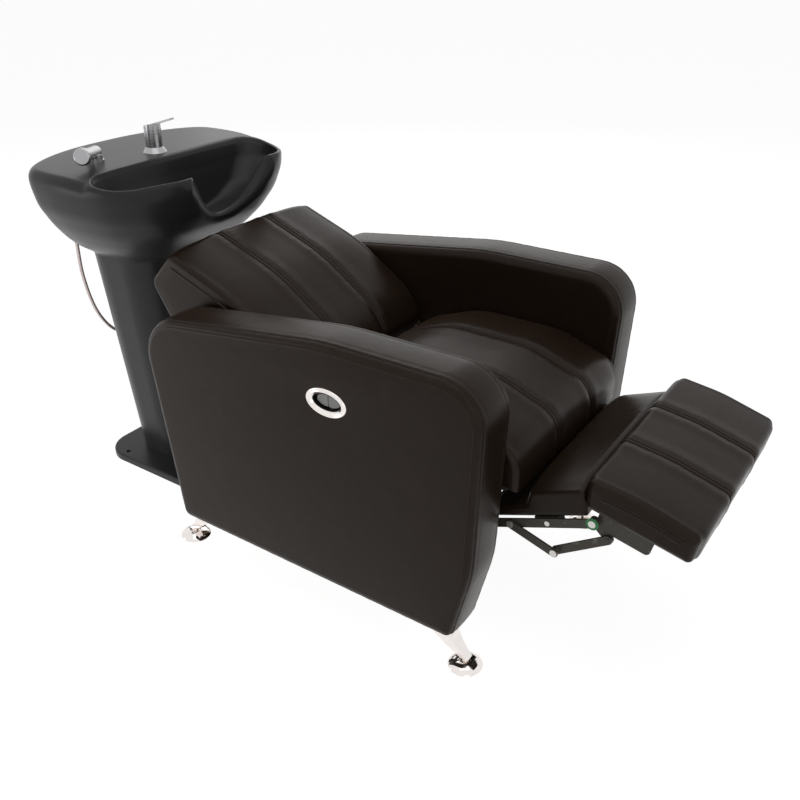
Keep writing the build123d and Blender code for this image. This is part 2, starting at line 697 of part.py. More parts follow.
def bracket_room():
    """Space in the side of the back cushion for its bracket and the chassis ear beside it."""
    tilt = math.radians(BACK_BOARD_TILT)
    end = (
        BACK_PIVOT[0] + BACK_BRACKET_LENGTH * math.cos(tilt),
        BACK_PIVOT[1] + BACK_BRACKET_LENGTH * math.sin(tilt),
    )
    low_x = BACK_BOARD_HALF_WIDTH - SOFT_GAP
    width = BACK_BRACKET_WIDTH + 2 * LAYER_GAP
    room = link(BACK_PIVOT, end, width, low_x, BACK_HALF_WIDTH + CUT_OVERRUN, [])
    ear = pin(BACK_PIVOT, RAIL_EAR_RADIUS + RAIL_EAR_ROOM, low_x, BACK_HALF_WIDTH + CUT_OVERRUN)
    return room + ear


# Footrest
def footrest_profile(share, groove):
    """Side view of the pad, shortened near the side so that its corners are round from above."""
    short = max(0, FOOTREST_CORNER - (1 - share) * FOOTREST_HALF_WIDTH)
    inset = FOOTREST_CORNER - math.sqrt(FOOTREST_CORNER ** 2 - short ** 2 * CORNER_FULL_SHARE) + groove
    drop = FOOTREST_SIDE_DROP * crown(share) + groove
    rows = []
    for along, up, radius in FOOTREST_PROFILE_SHARES:
        fall = drop if up >= 0 else 0
        reach = inset + along * (FOOTREST_LENGTH - 2 * inset)
        rows.append(footrest_point(reach, up * FOOTREST_THICKNESS - fall))
    radii = [row[2] * FOOTREST_THICKNESS for row in FOOTREST_PROFILE_SHARES]
    return side_outline(rows, radii)


def footrest_block(low, high, along_start, along_end, half_width):
    corners = [(along_start, low), (along_end, low), (along_end, high), (along_start, high)]
    face = Plane.YZ * make_face(Polyline(*[footrest_point(*corner) for corner in corners], close=True))
    return across(face, -half_width, half_width)


def footrest_board():
    low = -FOOTREST_THICKNESS
    end = FOOTREST_LENGTH - FOOTREST_BOARD_INSET
    half = FOOTREST_HALF_WIDTH - FOOTREST_BOARD_BACK
    return footrest_block(low, low + FOOTREST_BOARD_THICKNESS, FOOTREST_BOARD_BACK, end, half)


def footrest_pad():
    return cushion(footrest_profile, FOOTREST_HALF_WIDTH) - footrest_board()


def footrest_bracket():
    """Angle under the footrest board: a lip against the board and a plate with two pivots."""
    under = -FOOTREST_THICKNESS
    high_x = BRACKET_LAYER_X
    low_x = high_x - LINK_THICKNESS
    start = BRACKET_LIP_START
    end = start + BRACKET_LIP_LENGTH
    lip = footrest_block(under - LINK_THICKNESS, under, start, end, BRACKET_LIP_WIDTH / 2)
    lip = Pos(high_x - BRACKET_LIP_WIDTH / 2, 0, 0) * lip
    corners = [(start, under), (end, under), (end, under - BRACKET_DEPTH), (start, under - BRACKET_DEPTH)]
    points = [footrest_point(*corner) for corner in corners]
    radii = [0, 0, BRACKET_END_RADIUS, 0]
    plate = across(side_outline(points, radii), low_x, high_x)
    plate += link(BAR_END_PIN, SCISSOR_PIN, 2 * BRACKET_END_RADIUS, low_x, high_x, [])
    hole = pin(BAR_END_PIN, PIN_RADIUS + PIN_FIT, low_x - CUT_OVERRUN, high_x + CUT_OVERRUN)
    return lip + plate - hole


# Bridge pad between the seat and the footrest
def bridge_face(points, radii):
    return side_outline([bar_point(*point) for point in points], radii)


def bridge_profile(share, groove):
    height = BRIDGE_THICKNESS - BRIDGE_SIDE_DROP * crown(share) - groove
    rows = []
    for along, up, radius in BRIDGE_PROFILE_SHARES:
        rows.append((BRIDGE_START + along * (BRIDGE_END - BRIDGE_START), BRIDGE_BASE + up * height))
    radii = [row[2] * height for row in BRIDGE_PROFILE_SHARES]
    return bridge_face(rows, radii)


def bridge_board():
    start = BRIDGE_START + BRIDGE_BOARD_INSET
    end = BRIDGE_END - BRIDGE_BOARD_INSET
    low = BRIDGE_BASE - BRIDGE_BOARD_THICKNESS
    corners = [(start, low), (end, low), (end, BRIDGE_BASE), (start, BRIDGE_BASE)]
    half = BRIDGE_HALF_WIDTH - BRIDGE_BOARD_INSET
    board = across(bridge_face(corners, [0] * len(corners)), -half, half)
    cleat_end = CLEAT_START + CLEAT_LENGTH
    under = -BAR_WIDTH / 2
    cleat = [(CLEAT_START, under), (cleat_end, under), (cleat_end, low), (CLEAT_START, low)]
    high_x = BAR_LAYER_X - LINK_THICKNESS
    block = across(bridge_face(cleat, [0] * len(cleat)), high_x - CLEAT_WIDTH, high_x)
    return board + block + mirror(block, about=Plane.YZ)


def bridge_pad():
    return cushion(bridge_profile, BRIDGE_HALF_WIDTH, seams=False)


# Footrest linkage
def crank_yoke():
    """Both cranks and the rod between them, welded into one yoke."""
    low_x = OUTER_LAYER_X - LINK_THICKNESS
    holes = [(CRANK_PIVOT, CRANK_PIN_RADIUS + PIN_FIT)]
    crank = link(CRANK_PIVOT, YOKE_PIN, CRANK_WIDTH, low_x, OUTER_LAYER_X, holes)
    rod_end = BAR_LAYER_X - LINK_THICKNESS - LAYER_GAP / 2
    rod = pin(YOKE_PIN, YOKE_ROD_RADIUS, -rod_end, rod_end)
    stub = pin(YOKE_PIN, PIN_RADIUS, -low_x, low_x)
    return crank + mirror(crank, about=Plane.YZ) + rod + stub


def long_bar():
    low_x = BAR_LAYER_X - LINK_THICKNESS
    holes = [(YOKE_PIN, PIN_RADIUS + PIN_FIT)]
    bar = link(YOKE_PIN, BAR_END_PIN, BAR_WIDTH, low_x, BAR_LAYER_X, holes)
    return bar - bar_rivets()


def bar_rivets():
    """Rivets that the long bar carries: at the short link, at its own end and at the bridge board."""
    low_x = BAR_LAYER_X - LINK_THICKNESS
    short = pin(SHORT_LINK_PIN, PIN_RADIUS, low_x, OUTER_LAYER_X)
    short += pin(SHORT_LINK_PIN, RIVET_HEAD_RADIUS, OUTER_LAYER_X, OUTER_LAYER_X + RIVET_HEAD_HEIGHT)
    short += pin(SHORT_LINK_PIN, RIVET_HEAD_RADIUS, low_x - LOW_HEAD_HEIGHT, low_x)
    washer_x = BAR_LAYER_X + WASHER_HEIGHT
    inner_x = BRACKET_LAYER_X - LINK_THICKNESS
    end = pin(BAR_END_PIN, PIN_RADIUS, inner_x, washer_x)
    end += pin(BAR_END_PIN, RIVET_HEAD_RADIUS, washer_x, washer_x + RIVET_HEAD_HEIGHT)
    end += pin(BAR_END_PIN, RIVET_HEAD_RADIUS, inner_x - RIVET_HEAD_HEIGHT, inner_x)
    middle = bar_point(CLEAT_START + CLEAT_LENGTH / 2, 0)
    screw = pin(middle, PIN_RADIUS / 2, low_x, BAR_LAYER_X)
    screw += pin(middle, PIN_RADIUS, BAR_LAYER_X, BAR_LAYER_X + RIVET_HEAD_HEIGHT)
    return short + end + screw


def short_link():
    low_x = OUTER_LAYER_X - LINK_THICKNESS
    holes = [(SHORT_LINK_PIN, PIN_RADIUS + PIN_FIT)]
    return link(SHORT_LINK_PIN, KNEE_PIN, LINK_WIDTH, low_x, OUTER_LAYER_X, holes) - knee_rivet()


def knee_rivet():
    """Rivet of the knee, which the short link carries, with its spacer and low inner head."""
    low_x = SCISSOR_LAYER_X - LINK_THICKNESS
    rivet = pin(KNEE_PIN, KNEE_PIN_RADIUS, low_x, OUTER_LAYER_X)
    rivet += pin(KNEE_PIN, KNEE_SPACER_RADIUS, SCISSOR_LAYER_X + SOFT_GAP, OUTER_LAYER_X - LINK_THICKNESS)
    rivet += pin(KNEE_PIN, RIVET_HEAD_RADIUS, OUTER_LAYER_X, OUTER_LAYER_X + RIVET_HEAD_HEIGHT)
    return rivet + pin(KNEE_PIN, KNEE_SPACER_RADIUS, low_x - LOW_HEAD_HEIGHT, low_x - PIN_FIT)


def scissor_link():
    """Front link of the knee. Its far pivot is the open one, so it carries only its own rivet head."""
    low_x = SCISSOR_LAYER_X - LINK_THICKNESS
    holes = [(KNEE_PIN, KNEE_PIN_RADIUS + PIN_FIT)]
    bar = link(KNEE_PIN, SCISSOR_PIN, LINK_WIDTH, low_x, SCISSOR_LAYER_X, holes)
    return bar + pin(SCISSOR_PIN, RIVET_HEAD_RADIUS / 2, SCISSOR_LAYER_X, SCISSOR_LAYER_X + LOW_HEAD_HEIGHT)


def nylon_washer():
    ring = pin(BAR_END_PIN, WASHER_RADIUS, BAR_LAYER_X, BAR_LAYER_X + WASHER_HEIGHT)
    hole_radius = PIN_RADIUS + PIN_FIT
    return ring - pin(BAR_END_PIN, hole_radius, BAR_LAYER_X - CUT_OVERRUN, BAR_LAYER_X + CUT_OVERRUN)


def pivot_bolts():
    """Shoulder bolts that the side rails hold for the cranks and for the back brackets."""
    rail_x = ARM_INNER_X - RAIL_THICKNESS
    low_x = OUTER_LAYER_X - LINK_THICKNESS
    crank = pin(CRANK_PIVOT, CRANK_PIN_RADIUS, low_x - PIN_FIT, ARM_INNER_X)
    crank += pin(CRANK_PIVOT, PIVOT_HEAD_RADIUS, low_x - LOW_HEAD_HEIGHT - PIN_FIT, low_x - PIN_FIT)
    inner_x = rail_x - LAYER_GAP - BACK_BRACKET_THICKNESS - PIN_FIT
    back = pin(BACK_PIVOT, BACK_PIN_RADIUS, inner_x, ARM_INNER_X)
    back += pin(BACK_PIVOT, PIVOT_HEAD_RADIUS, inner_x - LOW_HEAD_HEIGHT, inner_x)
    return crank + back


def linkage():
    nodes = {"crank_yoke": crank_yoke()}
    pieces = {
        "long_bar": long_bar(),
        "short_link": short_link(),
        "scissor_link": scissor_link(),
        "side_rail": side_rail(),
    }
    for side in SIDES:
        for name, solid in pieces.items():
            nodes[side + "_" + name] = on_side(solid, side)
    groups = {
        "bar_rivets": bar_rivets(),
        "knee_rivets": knee_rivet(),
        "nylon_washers": nylon_washer(),
        "back_brackets": back_bracket(),
        "footrest_brackets": footrest_bracket(),
        "pivot_bolts": pivot_bolts(),
    }
    for name, solid in groups.items():
        solids = [on_side(part, side) for side in SIDES for part in solid.solids()]
        nodes[name] = joined(solids)
    return nodes


# Chassis
def side_rail():
    """Plate with a lug for the crank, an ear for the back and a flange under the seat board."""
    low_z = RAIL_TOP_Z - RAIL_DEPTH
    half = RAIL_LUG_WIDTH / 2
    points = [
        (RAIL_FRONT_Y, RAIL_TOP_Z),
        (RAIL_FRONT_Y, low_z),
        (CRANK_PIVOT[0] - half, CRANK_PIVOT[1] - half),
        (CRANK_PIVOT[0] + half, CRANK_PIVOT[1] - half),
        (CRANK_PIVOT[0] + RAIL_LUG_RUN, low_z),
        (RAIL_BACK_Y, low_z),
        (RAIL_BACK_Y, RAIL_TOP_Z),
    ]
    radii = [0, half / 2, half, half, half, half / 2, 0]
    low_x = ARM_INNER_X - RAIL_THICKNESS
    rail = across(side_outline(points, radii), low_x, ARM_INNER_X)
    foot = (BACK_PIVOT[0], RAIL_TOP_Z)
    rail += link(foot, BACK_PIVOT, 2 * RAIL_EAR_RADIUS, low_x, ARM_INNER_X, [])
    flange_low_x = ARM_INNER_X - RAIL_FLANGE_WIDTH
    front_y = RAIL_FRONT_Y
    back_y = SEAT_FRONT_Y + SEAT_LENGTH - SEAT_BOARD_REAR_INSET
    flange_z = RAIL_TOP_Z - RAIL_FLANGE_THICKNESS / 2
    flange = Pos((flange_low_x + ARM_INNER_X) / 2, (front_y + back_y) / 2, flange_z)
    rail += flange * Box(RAIL_FLANGE_WIDTH, back_y - front_y, RAIL_FLANGE_THICKNESS)
    for centre, radius in ((CRANK_PIVOT, CRANK_PIN_RADIUS), (BACK_PIVOT, BACK_PIN_RADIUS)):
        rail -= pin(centre, radius, low_x - CUT_OVERRUN, ARM_INNER_X + CUT_OVERRUN)
    return rail


def cross_tube():
    centre = (CROSS_TUBE_Y, RAIL_TOP_Z - RAIL_FLANGE_THICKNESS - CROSS_TUBE_RADIUS)
    half = ARM_INNER_X - RAIL_THICKNESS
    tube = pin(centre, CROSS_TUBE_RADIUS, -half, half)
    return tube - pin(centre, CROSS_TUBE_RADIUS - CROSS_TUBE_WALL, -half - CUT_OVERRUN, half + CUT_OVERRUN)


def rear_stretcher():
    place = Pos(0, STRETCHER_BACK_Y - STRETCHER_THICKNESS / 2, ARM_BASE_Z + STRETCHER_HEIGHT / 2)
    return place * Box(2 * ARM_INNER_X, STRETCHER_THICKNESS, STRETCHER_HEIGHT)


# Legs
def leg_places():
    """Top middle of each leg and the way that it splays along Y."""
    return {
        "right_front": (-LEG_X, LEG_TOP_FRONT_Y, -1),
        "left_front": (LEG_X, LEG_TOP_FRONT_Y, -1),
        "right_rear": (-LEG_X, LEG_TOP_BACK_Y, 1),
        "left_rear": (LEG_X, LEG_TOP_BACK_Y, 1),
    }


def leg():
    """Sabre leg that splays towards -Y, with its top middle over the origin."""
    top = LEG_TOP_LENGTH / 2
    foot = LEG_FOOT_LENGTH / 2
    rise = ARM_BASE_Z - LEG_FOOT_Z
    front_middle = (-(LEG_SPLAY / 2 + (top + foot) / 2) + LEG_BOW, LEG_FOOT_Z + rise / 2)
    back_middle = (-(LEG_SPLAY / 2) + (top + foot) / 2 + LEG_BOW, LEG_FOOT_Z + rise / 2)
    outline = [
        Line((top, ARM_BASE_Z), (-top, ARM_BASE_Z)),
        ThreePointArc((-top, ARM_BASE_Z), front_middle, (-LEG_SPLAY - foot, LEG_FOOT_Z)),
        Line((-LEG_SPLAY - foot, LEG_FOOT_Z), (-LEG_SPLAY + foot, LEG_FOOT_Z)),
        ThreePointArc((-LEG_SPLAY + foot, LEG_FOOT_Z), back_middle, (top, ARM_BASE_Z)),
    ]
    side = across(Plane.YZ * make_face(outline), -LEG_TOP_WIDTH / 2, LEG_TOP_WIDTH / 2)
    corners = [
        (-LEG_TOP_WIDTH / 2, ARM_BASE_Z),
        (LEG_TOP_WIDTH / 2, ARM_BASE_Z),
        (LEG_FOOT_WIDTH / 2, LEG_FOOT_Z),
        (-LEG_FOOT_WIDTH / 2, LEG_FOOT_Z),
    ]
    front = Plane.XZ * make_face(Polyline(*corners, close=True))
    reach = LEG_SPLAY + LEG_TOP_LENGTH
    taper = extrude(Pos(0, reach, 0) * front, amount=2 * reach, dir=(0, -1, 0))
    solid = side & taper
    uprights = solid.edges().filter_by(lambda edge: abs(edge.tangent_at(1 / 2).Z) > 1 / 2)
    return chamfer(uprights, LEG_EDGE)


def glide():
    """Domed glide under the leg's foot, turned about its own middle."""
    rim = (GLIDE_RADIUS, GLIDE_RIM)
    shoulder = (GLIDE_RADIUS * GLIDE_DOME_SHARES[0], GLIDE_RIM + GLIDE_DOME * GLIDE_DOME_SHARES[1])
    neck = (GLIDE_NECK_RADIUS, GLIDE_RIM + GLIDE_DOME)
    profile = [
        Polyline((0, 0), (GLIDE_RADIUS, 0), rim),
        ThreePointArc(rim, shoulder, neck),
        Polyline(neck, (GLIDE_NECK_RADIUS, LEG_FOOT_Z), (0, LEG_FOOT_Z), (0, 0)),
    ]
    return revolve(Plane.XZ * make_face(profile), Axis.Z)


def leg_bolt_holes(side):
    holes = []
    for name, (x, y, way) in leg_places().items():
        if name.startswith(side):
            holes += leg_bolt_pair(x, y, LEG_BOLT_RADIUS + PIN_FIT)
    return holes


def leg_bolt_pair(x, y, radius):
    low_z = ARM_BASE_Z - LEG_BOLT_SINK
    steps = (-LEG_BOLT_SPACING / 2, LEG_BOLT_SPACING / 2)
    return [Pos(x, y + step, low_z) * Cylinder(radius, LEG_BOLT_LENGTH, align=LOWEST) for step in steps]


def legs():
    nodes = {}
    glides = []
    bolts = []
    for name, (x, y, way) in leg_places().items():
        turn = 0 if way < 0 else 180
        placed = Pos(x, y, 0) * Rot(0, 0, turn) * leg()
        nodes[name + "_leg"] = placed - joined(leg_bolt_pair(x, y, LEG_BOLT_RADIUS + PIN_FIT))
        glides.append(Pos(x, y + way * LEG_SPLAY, 0) * glide())
        bolts += leg_bolt_pair(x, y, LEG_BOLT_RADIUS)
    nodes["glide_feet"] = joined(glides)
    nodes["leg_bolts"] = joined(bolts)
    return nodes


# Pedestal
def base_plate():
    middle_y = (BASE_FRONT_Y + BASE_BACK_Y) / 2
    face = Pos(0, middle_y) * RectangleRounded(2 * BASE_HALF_WIDTH, BASE_BACK_Y - BASE_FRONT_Y, BASE_CORNER)
    plate = extrude(face, amount=BASE_THICKNESS)
    plate = fillet(plate.faces().sort_by(Axis.Z)[-1].edges(), BASE_EDGE)
    middle_z = BASE_THICKNESS / 2
    depth = BASE_THICKNESS + 2 * CUT_OVERRUN
    for x in (-ANCHOR_SPACING_X / 2, ANCHOR_SPACING_X / 2):
        for y in (-ANCHOR_SPACING_Y / 2, ANCHOR_SPACING_Y / 2):
            plate -= Pos(x, middle_y + y, middle_z) * Cylinder(ANCHOR_RADIUS, depth)
    drain = Pos(0, WASTE_DROP_Y, middle_z) * Cylinder(WASTE_RADIUS + PIN_FIT, depth)
    return plate - drain


def column_section(share, inset):
    """Rounded rectangle at a share of the column's height, drawn in by inset."""
    width = COLUMN_FOOT_SIZE[0] + share * (COLUMN_TOP_SIZE[0] - COLUMN_FOOT_SIZE[0])
    depth = COLUMN_FOOT_SIZE[1] + share * (COLUMN_TOP_SIZE[1] - COLUMN_FOOT_SIZE[1])
    corner = COLUMN_FOOT_CORNER + share * (COLUMN_TOP_CORNER - COLUMN_FOOT_CORNER)
    z = COLUMN_FOOT_Z + share * (COLUMN_TOP_Z - COLUMN_FOOT_Z)
    return Pos(0, COLUMN_Y, z) * RectangleRounded(width - 2 * inset, depth - 2 * inset, corner - inset)


def column_solid(inset):
    return loft([column_section(0, inset), column_section(1, inset)], ruled=True)


def cover_plane():
    """Plane on the slanting back of the column, its x across and its y up the slant."""
    rise = COLUMN_TOP_Z - COLUMN_FOOT_Z
    lean = (COLUMN_TOP_SIZE[1] - COLUMN_FOOT_SIZE[1]) / 2
    z = COVER_LOW_Z + COVER_HEIGHT / 2
    y = COLUMN_Y + COLUMN_FOOT_SIZE[1] / 2 + lean * (z - COLUMN_FOOT_Z) / rise
    return Plane(origin=(0, y, z), x_dir=(-1, 0, 0), z_dir=Vector(0, rise, -lean).normalized())


def column_shell():
    shell = column_solid(0) - column_solid(COLUMN_WALL)
    size = (COVER_WIDTH - 2 * COVER_LAP, COVER_HEIGHT - 2 * COVER_LAP)
    opening = cover_plane() * RectangleRounded(*size, COVER_CORNER)
    hole = extrude(opening, amount=2 * COLUMN_WALL, both=True)
    return shell - hole


def access_cover():
    plate = extrude(RectangleRounded(COVER_WIDTH, COVER_HEIGHT, COVER_CORNER), amount=COVER_THICKNESS)
    plate = fillet(plate.faces().sort_by(Axis.Z)[-1].edges(), COVER_THICKNESS / 2)
    return cover_plane().location * plate


def connecting_straps():
    """Two bent straps from the chair's rear stretcher down to the base plate."""
    front = STRETCHER_BACK_Y
    low = BASE_THICKNESS
    high = ARM_BASE_Z + STRETCHER_HEIGHT * STRAP_TOP_SHARE
    points = [
        (front, high),
        (front, low),
        (STRAP_RUN_END_Y, low),
        (STRAP_RUN_END_Y, low + STRAP_THICKNESS),
        (front + STRAP_THICKNESS, low + STRAP_THICKNESS),
        (front + STRAP_THICKNESS, high),
    ]
    face = side_outline(points, [0] * len(points))
    left = across(face, STRAP_X - STRAP_WIDTH / 2, STRAP_X + STRAP_WIDTH / 2)
    return joined([mirror(left, about=Plane.YZ), left])


# Basin
def rim_face(shares, z, inset):
    """Outline of the basin at one height. Shares are of half width, front reach and back reach."""
    half = BASIN_HALF_WIDTH * shares[0] - inset
    front = BASIN_FRONT_REACH * shares[1] - inset
    back = BASIN_BACK_REACH * shares[2] - inset

    def place(point, side):
        reach = back if point[1] > 0 else front
        return (side * point[0] * half, COLUMN_Y + point[1] * reach)

    arcs = []
    for side in (1, -1):
        for row in RIM_ARC_SHARES:
            arcs.append(ThreePointArc(*[place(point, side) for point in row]))
    tip = RIM_ARC_SHARES[-1][-1]
    arcs.append(Line(place(tip, 1), place(tip, -1)))
    return Pos(0, 0, z) * make_face(arcs)


def hull_solid(inset, floor_drop, deck_drop):
    """The rounded hull. Its floor can reach lower and its deck can stop lower than the outer one's."""
    height = DECK_Z - COLUMN_TOP_Z
    faces = []
    for row in HULL_SHARES:
        z = COLUMN_TOP_Z + row[0] * height
        if row[0] == 0:
            z -= floor_drop
        if row[0] == 1:
            z -= deck_drop
        faces.append(rim_face(row[1:], z, inset))
    return loft(faces)


def bowl_solid(grow, rise):
    """The bowl's hollow, grown by grow on every side and carried up by rise above the deck."""
    faces = []
    for depth, width, front, back, corner in BOWL_SHARES:
        half = BOWL_HALF_WIDTH * width + grow
        low_y = BOWL_FRONT_Y + front * BOWL_LENGTH - grow
        high_y = BOWL_BACK_Y - back * BOWL_LENGTH + grow
        radius = (high_y - low_y) / 2 * corner
        z = DECK_Z - depth * BOWL_DEPTH - (grow if depth == 1 else 0)
        face = RectangleRounded(2 * half, high_y - low_y, radius)
        faces.append(Pos(0, (low_y + high_y) / 2, z) * face)
    solid = loft(faces) + extrude(faces[0], amount=rise)
    return solid & hull_solid(RIM_LIP - grow, 0, -rise)


def notch_solid(grow):
    """The neck notch: a half round trough that runs from the front wall into the bowl."""
    low_y = COLUMN_Y - BASIN_FRONT_REACH - CUT_OVERRUN
    face = Plane.XZ * (Pos(0, DECK_Z) * Ellipse(NOTCH_HALF_WIDTH + grow, NOTCH_DEPTH + grow))
    return extrude(Pos(0, low_y, 0) * face, amount=NOTCH_LENGTH + grow, dir=(0, 1, 0))


def basin():
    hull = hull_solid(0, 0, 0)
    void = hull_solid(BASIN_WALL, CUT_OVERRUN, BASIN_WALL)
    void -= bowl_solid(BASIN_WALL, CUT_OVERRUN)
    void -= notch_solid(BASIN_WALL)
    shell = hull - void - bowl_solid(0, CUT_OVERRUN) - notch_solid(0)
    depth = 2 * (BASIN_WALL + CUT_OVERRUN)
    shell -= Pos(0, TAP_Y, DECK_Z) * Cylinder(TAP_TAIL_RADIUS + PIN_FIT, depth)
    shell -= Pos(HOLDER_X, HOLDER_Y, DECK_Z) * Cylinder(HOLDER_TAIL_RADIUS + PIN_FIT, depth)
    shell -= Pos(0, DRAIN_Y, BOWL_FLOOR_Z) * Cylinder(DRAIN_HOLE_RADIUS + PIN_FIT, depth)
    for end in (HOSE_POINTS[0], HOSE_POINTS[-1]):
        shell -= gland(end, GLAND_RADIUS + PIN_FIT)
    return shell.solids().sort_by(SortBy.VOLUME)[-1]


def ring(outer, inner, low_z, high_z):
    body = Cylinder(outer, high_z - low_z) - Cylinder(inner, high_z - low_z + CUT_OVERRUN)
    return Pos(0, 0, (low_z + high_z) / 2) * body


def drain_fitting():
    bore = DRAIN_HOLE_RADIUS - DRAIN_WALL
    flange = ring(DRAIN_FLANGE_RADIUS, bore, BOWL_FLOOR_Z, BOWL_FLOOR_Z + DRAIN_FLANGE_HEIGHT)
    tail = ring(DRAIN_HOLE_RADIUS, bore, BOWL_FLOOR_Z - DRAIN_TAIL_LENGTH, BOWL_FLOOR_Z)
    seat_z = BOWL_FLOOR_Z - STRAINER_HEIGHT
    step = ring(bore, STRAINER_RADIUS - DRAIN_WALL, seat_z - DRAIN_WALL, seat_z)
    return Pos(0, DRAIN_Y, 0) * (flange + tail + step)


def strainer():
    disc = Pos(0, 0, BOWL_FLOOR_Z - STRAINER_HEIGHT / 2) * Cylinder(STRAINER_RADIUS, STRAINER_HEIGHT)
    depth = 2 * (STRAINER_HEIGHT + CUT_OVERRUN)
    for index in range(STRAINER_HOLES):
        angle = math.tau * index / STRAINER_HOLES
        x = STRAINER_RING_RADIUS * math.cos(angle)
        y = STRAINER_RING_RADIUS * math.sin(angle)
        disc -= Pos(x, y, BOWL_FLOOR_Z) * Cylinder(STRAINER_HOLE_RADIUS, depth)
    return Pos(0, DRAIN_Y, 0) * disc


def round_pipe(points, bends, radius):
    path = FilletPolyline(*points, radius=bends)
    start = Plane(origin=path @ 0, z_dir=path % 0)
    return sweep(start * Circle(radius), path=path)


def waste_pipe():
    top = BOWL_FLOOR_Z - DRAIN_TAIL_LENGTH
    knee = top - WASTE_FIRST_DROP
    points = [
        (0, DRAIN_Y, top),
        (0, DRAIN_Y, knee),
        (0, WASTE_DROP_Y, knee - WASTE_FALL),
        (0, WASTE_DROP_Y, 0),
    ]
    bends = [WASTE_RADIUS + WASTE_WALL, WASTE_BEND]
    return round_pipe(points, bends, WASTE_RADIUS) - round_pipe(points, bends, WASTE_RADIUS - WASTE_WALL)


# Tap and sprayer
def tap_body():
    place = Pos(0, TAP_Y, DECK_Z)
    shoulder = place * Pos(0, 0, TAP_FOOT_HEIGHT)
    foot = loft([place * Circle(TAP_FOOT_RADIUS), shoulder * Circle(TAP_RADIUS)])
    trunk = shoulder * Cylinder(TAP_RADIUS, TAP_HEIGHT - TAP_FOOT_HEIGHT, align=LOWEST)
    tail = place * Pos(0, 0, -TAP_TAIL_LENGTH) * Cylinder(TAP_TAIL_RADIUS, TAP_TAIL_LENGTH, align=LOWEST)
    return foot + trunk + tail


def tap_cap():
    """Turning cap of the mixer with the ear that carries the lever's pin."""
    low = DECK_Z + TAP_HEIGHT + TAP_CAP_GAP
    disc = Pos(0, TAP_Y, low) * Cylinder(TAP_RADIUS, TAP_CAP_HEIGHT, align=LOWEST)
    ear = Pos(0, TAP_Y + TAP_EAR_BACK, low + TAP_CAP_HEIGHT)
    ear *= Box(TAP_EAR_WIDTH, TAP_EAR_LENGTH, TAP_EAR_HEIGHT, align=LOWEST)
    return disc + ear - lever_pin(LEVER_PIN_RADIUS + PIN_FIT)


def lever_axis():
    """Side view point of the lever's pin."""
    low = DECK_Z + TAP_HEIGHT + TAP_CAP_GAP + TAP_CAP_HEIGHT
    return TAP_Y + TAP_EAR_BACK, low + TAP_EAR_HEIGHT / 2


def lever_pin(radius):
    return pin(lever_axis(), radius, -LEVER_PIN_LENGTH / 2, LEVER_PIN_LENGTH / 2)


def tap_lever():
    """Slanted hub over the cap, open round the cap's ear, with a thin lever that points at the sitter."""
    low = DECK_Z + TAP_HEIGHT + TAP_CAP_GAP + TAP_CAP_HEIGHT + TAP_CAP_GAP
    front = TAP_Y - TAP_RADIUS
    back = TAP_Y + TAP_RADIUS
    side = [
        (front, low),
        (TAP_Y + TAP_EAR_BACK - TAP_EAR_LENGTH, low),
        (back, low + LEVER_HEEL_RISE),
        (back, low + LEVER_HUB_LOW),
        (front, low + LEVER_HUB_HIGH),
    ]
    hub = across(side_outline(side, [0] * len(side)), -TAP_RADIUS, TAP_RADIUS)
    depth = 2 * (LEVER_HUB_HIGH + CUT_OVERRUN)
    hub &= Pos(0, TAP_Y, low) * Cylinder(TAP_RADIUS, depth)
    room = Pos(0, TAP_Y + TAP_EAR_BACK - TAP_EAR_LENGTH, low)
    towards_basin = (Align.CENTER, Align.MIN, Align.CENTER)
    room *= Box(TAP_EAR_WIDTH + LAYER_GAP, 2 * TAP_RADIUS, depth, align=towards_basin)
    hub -= room
    start = Pos(0, TAP_Y, low + LEVER_ROOT_RISE) * Rot(-LEVER_RISE, 0, 0)
    towards_sitter = (Align.CENTER, Align.MAX, Align.CENTER)
    blade = start * Box(LEVER_WIDTH, LEVER_LENGTH, LEVER_THICKNESS, align=towards_sitter)
    return hub + blade + lever_pin(LEVER_PIN_RADIUS)


def spray_holder():
    flange = ring(HOLDER_RADIUS, HOLDER_BORE, DECK_Z, DECK_Z + HOLDER_HEIGHT)
    tail = ring(HOLDER_TAIL_RADIUS, HOLDER_BORE, DECK_Z - HOLDER_TAIL_LENGTH, DECK_Z)
    return Pos(HOLDER_X, HOLDER_Y, 0) * (flange + tail)


def hand_sprayer():
    """Stem that drops into the holder, a collar, a leaning grip and the round spray face at its end."""
    high = DECK_Z + HOLDER_HEIGHT
    axis_z = high + SPRAYER_AXIS_RISE
    stem_low = Pos(0, 0, axis_z - SPRAYER_STEM_LENGTH)
    stem = stem_low * Cylinder(SPRAYER_STEM_RADIUS, SPRAYER_STEM_LENGTH, align=LOWEST)
    collar = Pos(0, 0, high + SOFT_GAP)
    collar *= Cylinder(SPRAYER_COLLAR_RADIUS, SPRAYER_COLLAR_HEIGHT, align=LOWEST)
    lean = Pos(0, 0, axis_z) * Rot(0, SPRAYER_LEAN, 0)
    grip = Pos(0, 0, -SPRAYER_GRIP_BACK) * Cylinder(SPRAYER_GRIP_RADIUS, SPRAYER_GRIP_LENGTH, align=LOWEST)
    face_place = SPRAYER_GRIP_LENGTH - SPRAYER_GRIP_BACK
    face = Pos(0, 0, face_place) * Cylinder(SPRAYER_FACE_RADIUS, SPRAYER_FACE_LENGTH, align=LOWEST)
    face = fillet(face.edges(), SPRAYER_FACE_EDGE)
    head = lean * (grip + face)
    return Pos(HOLDER_X, HOLDER_Y, 0) * Rot(0, 0, SPRAYER_TURN) * (stem + collar + head)


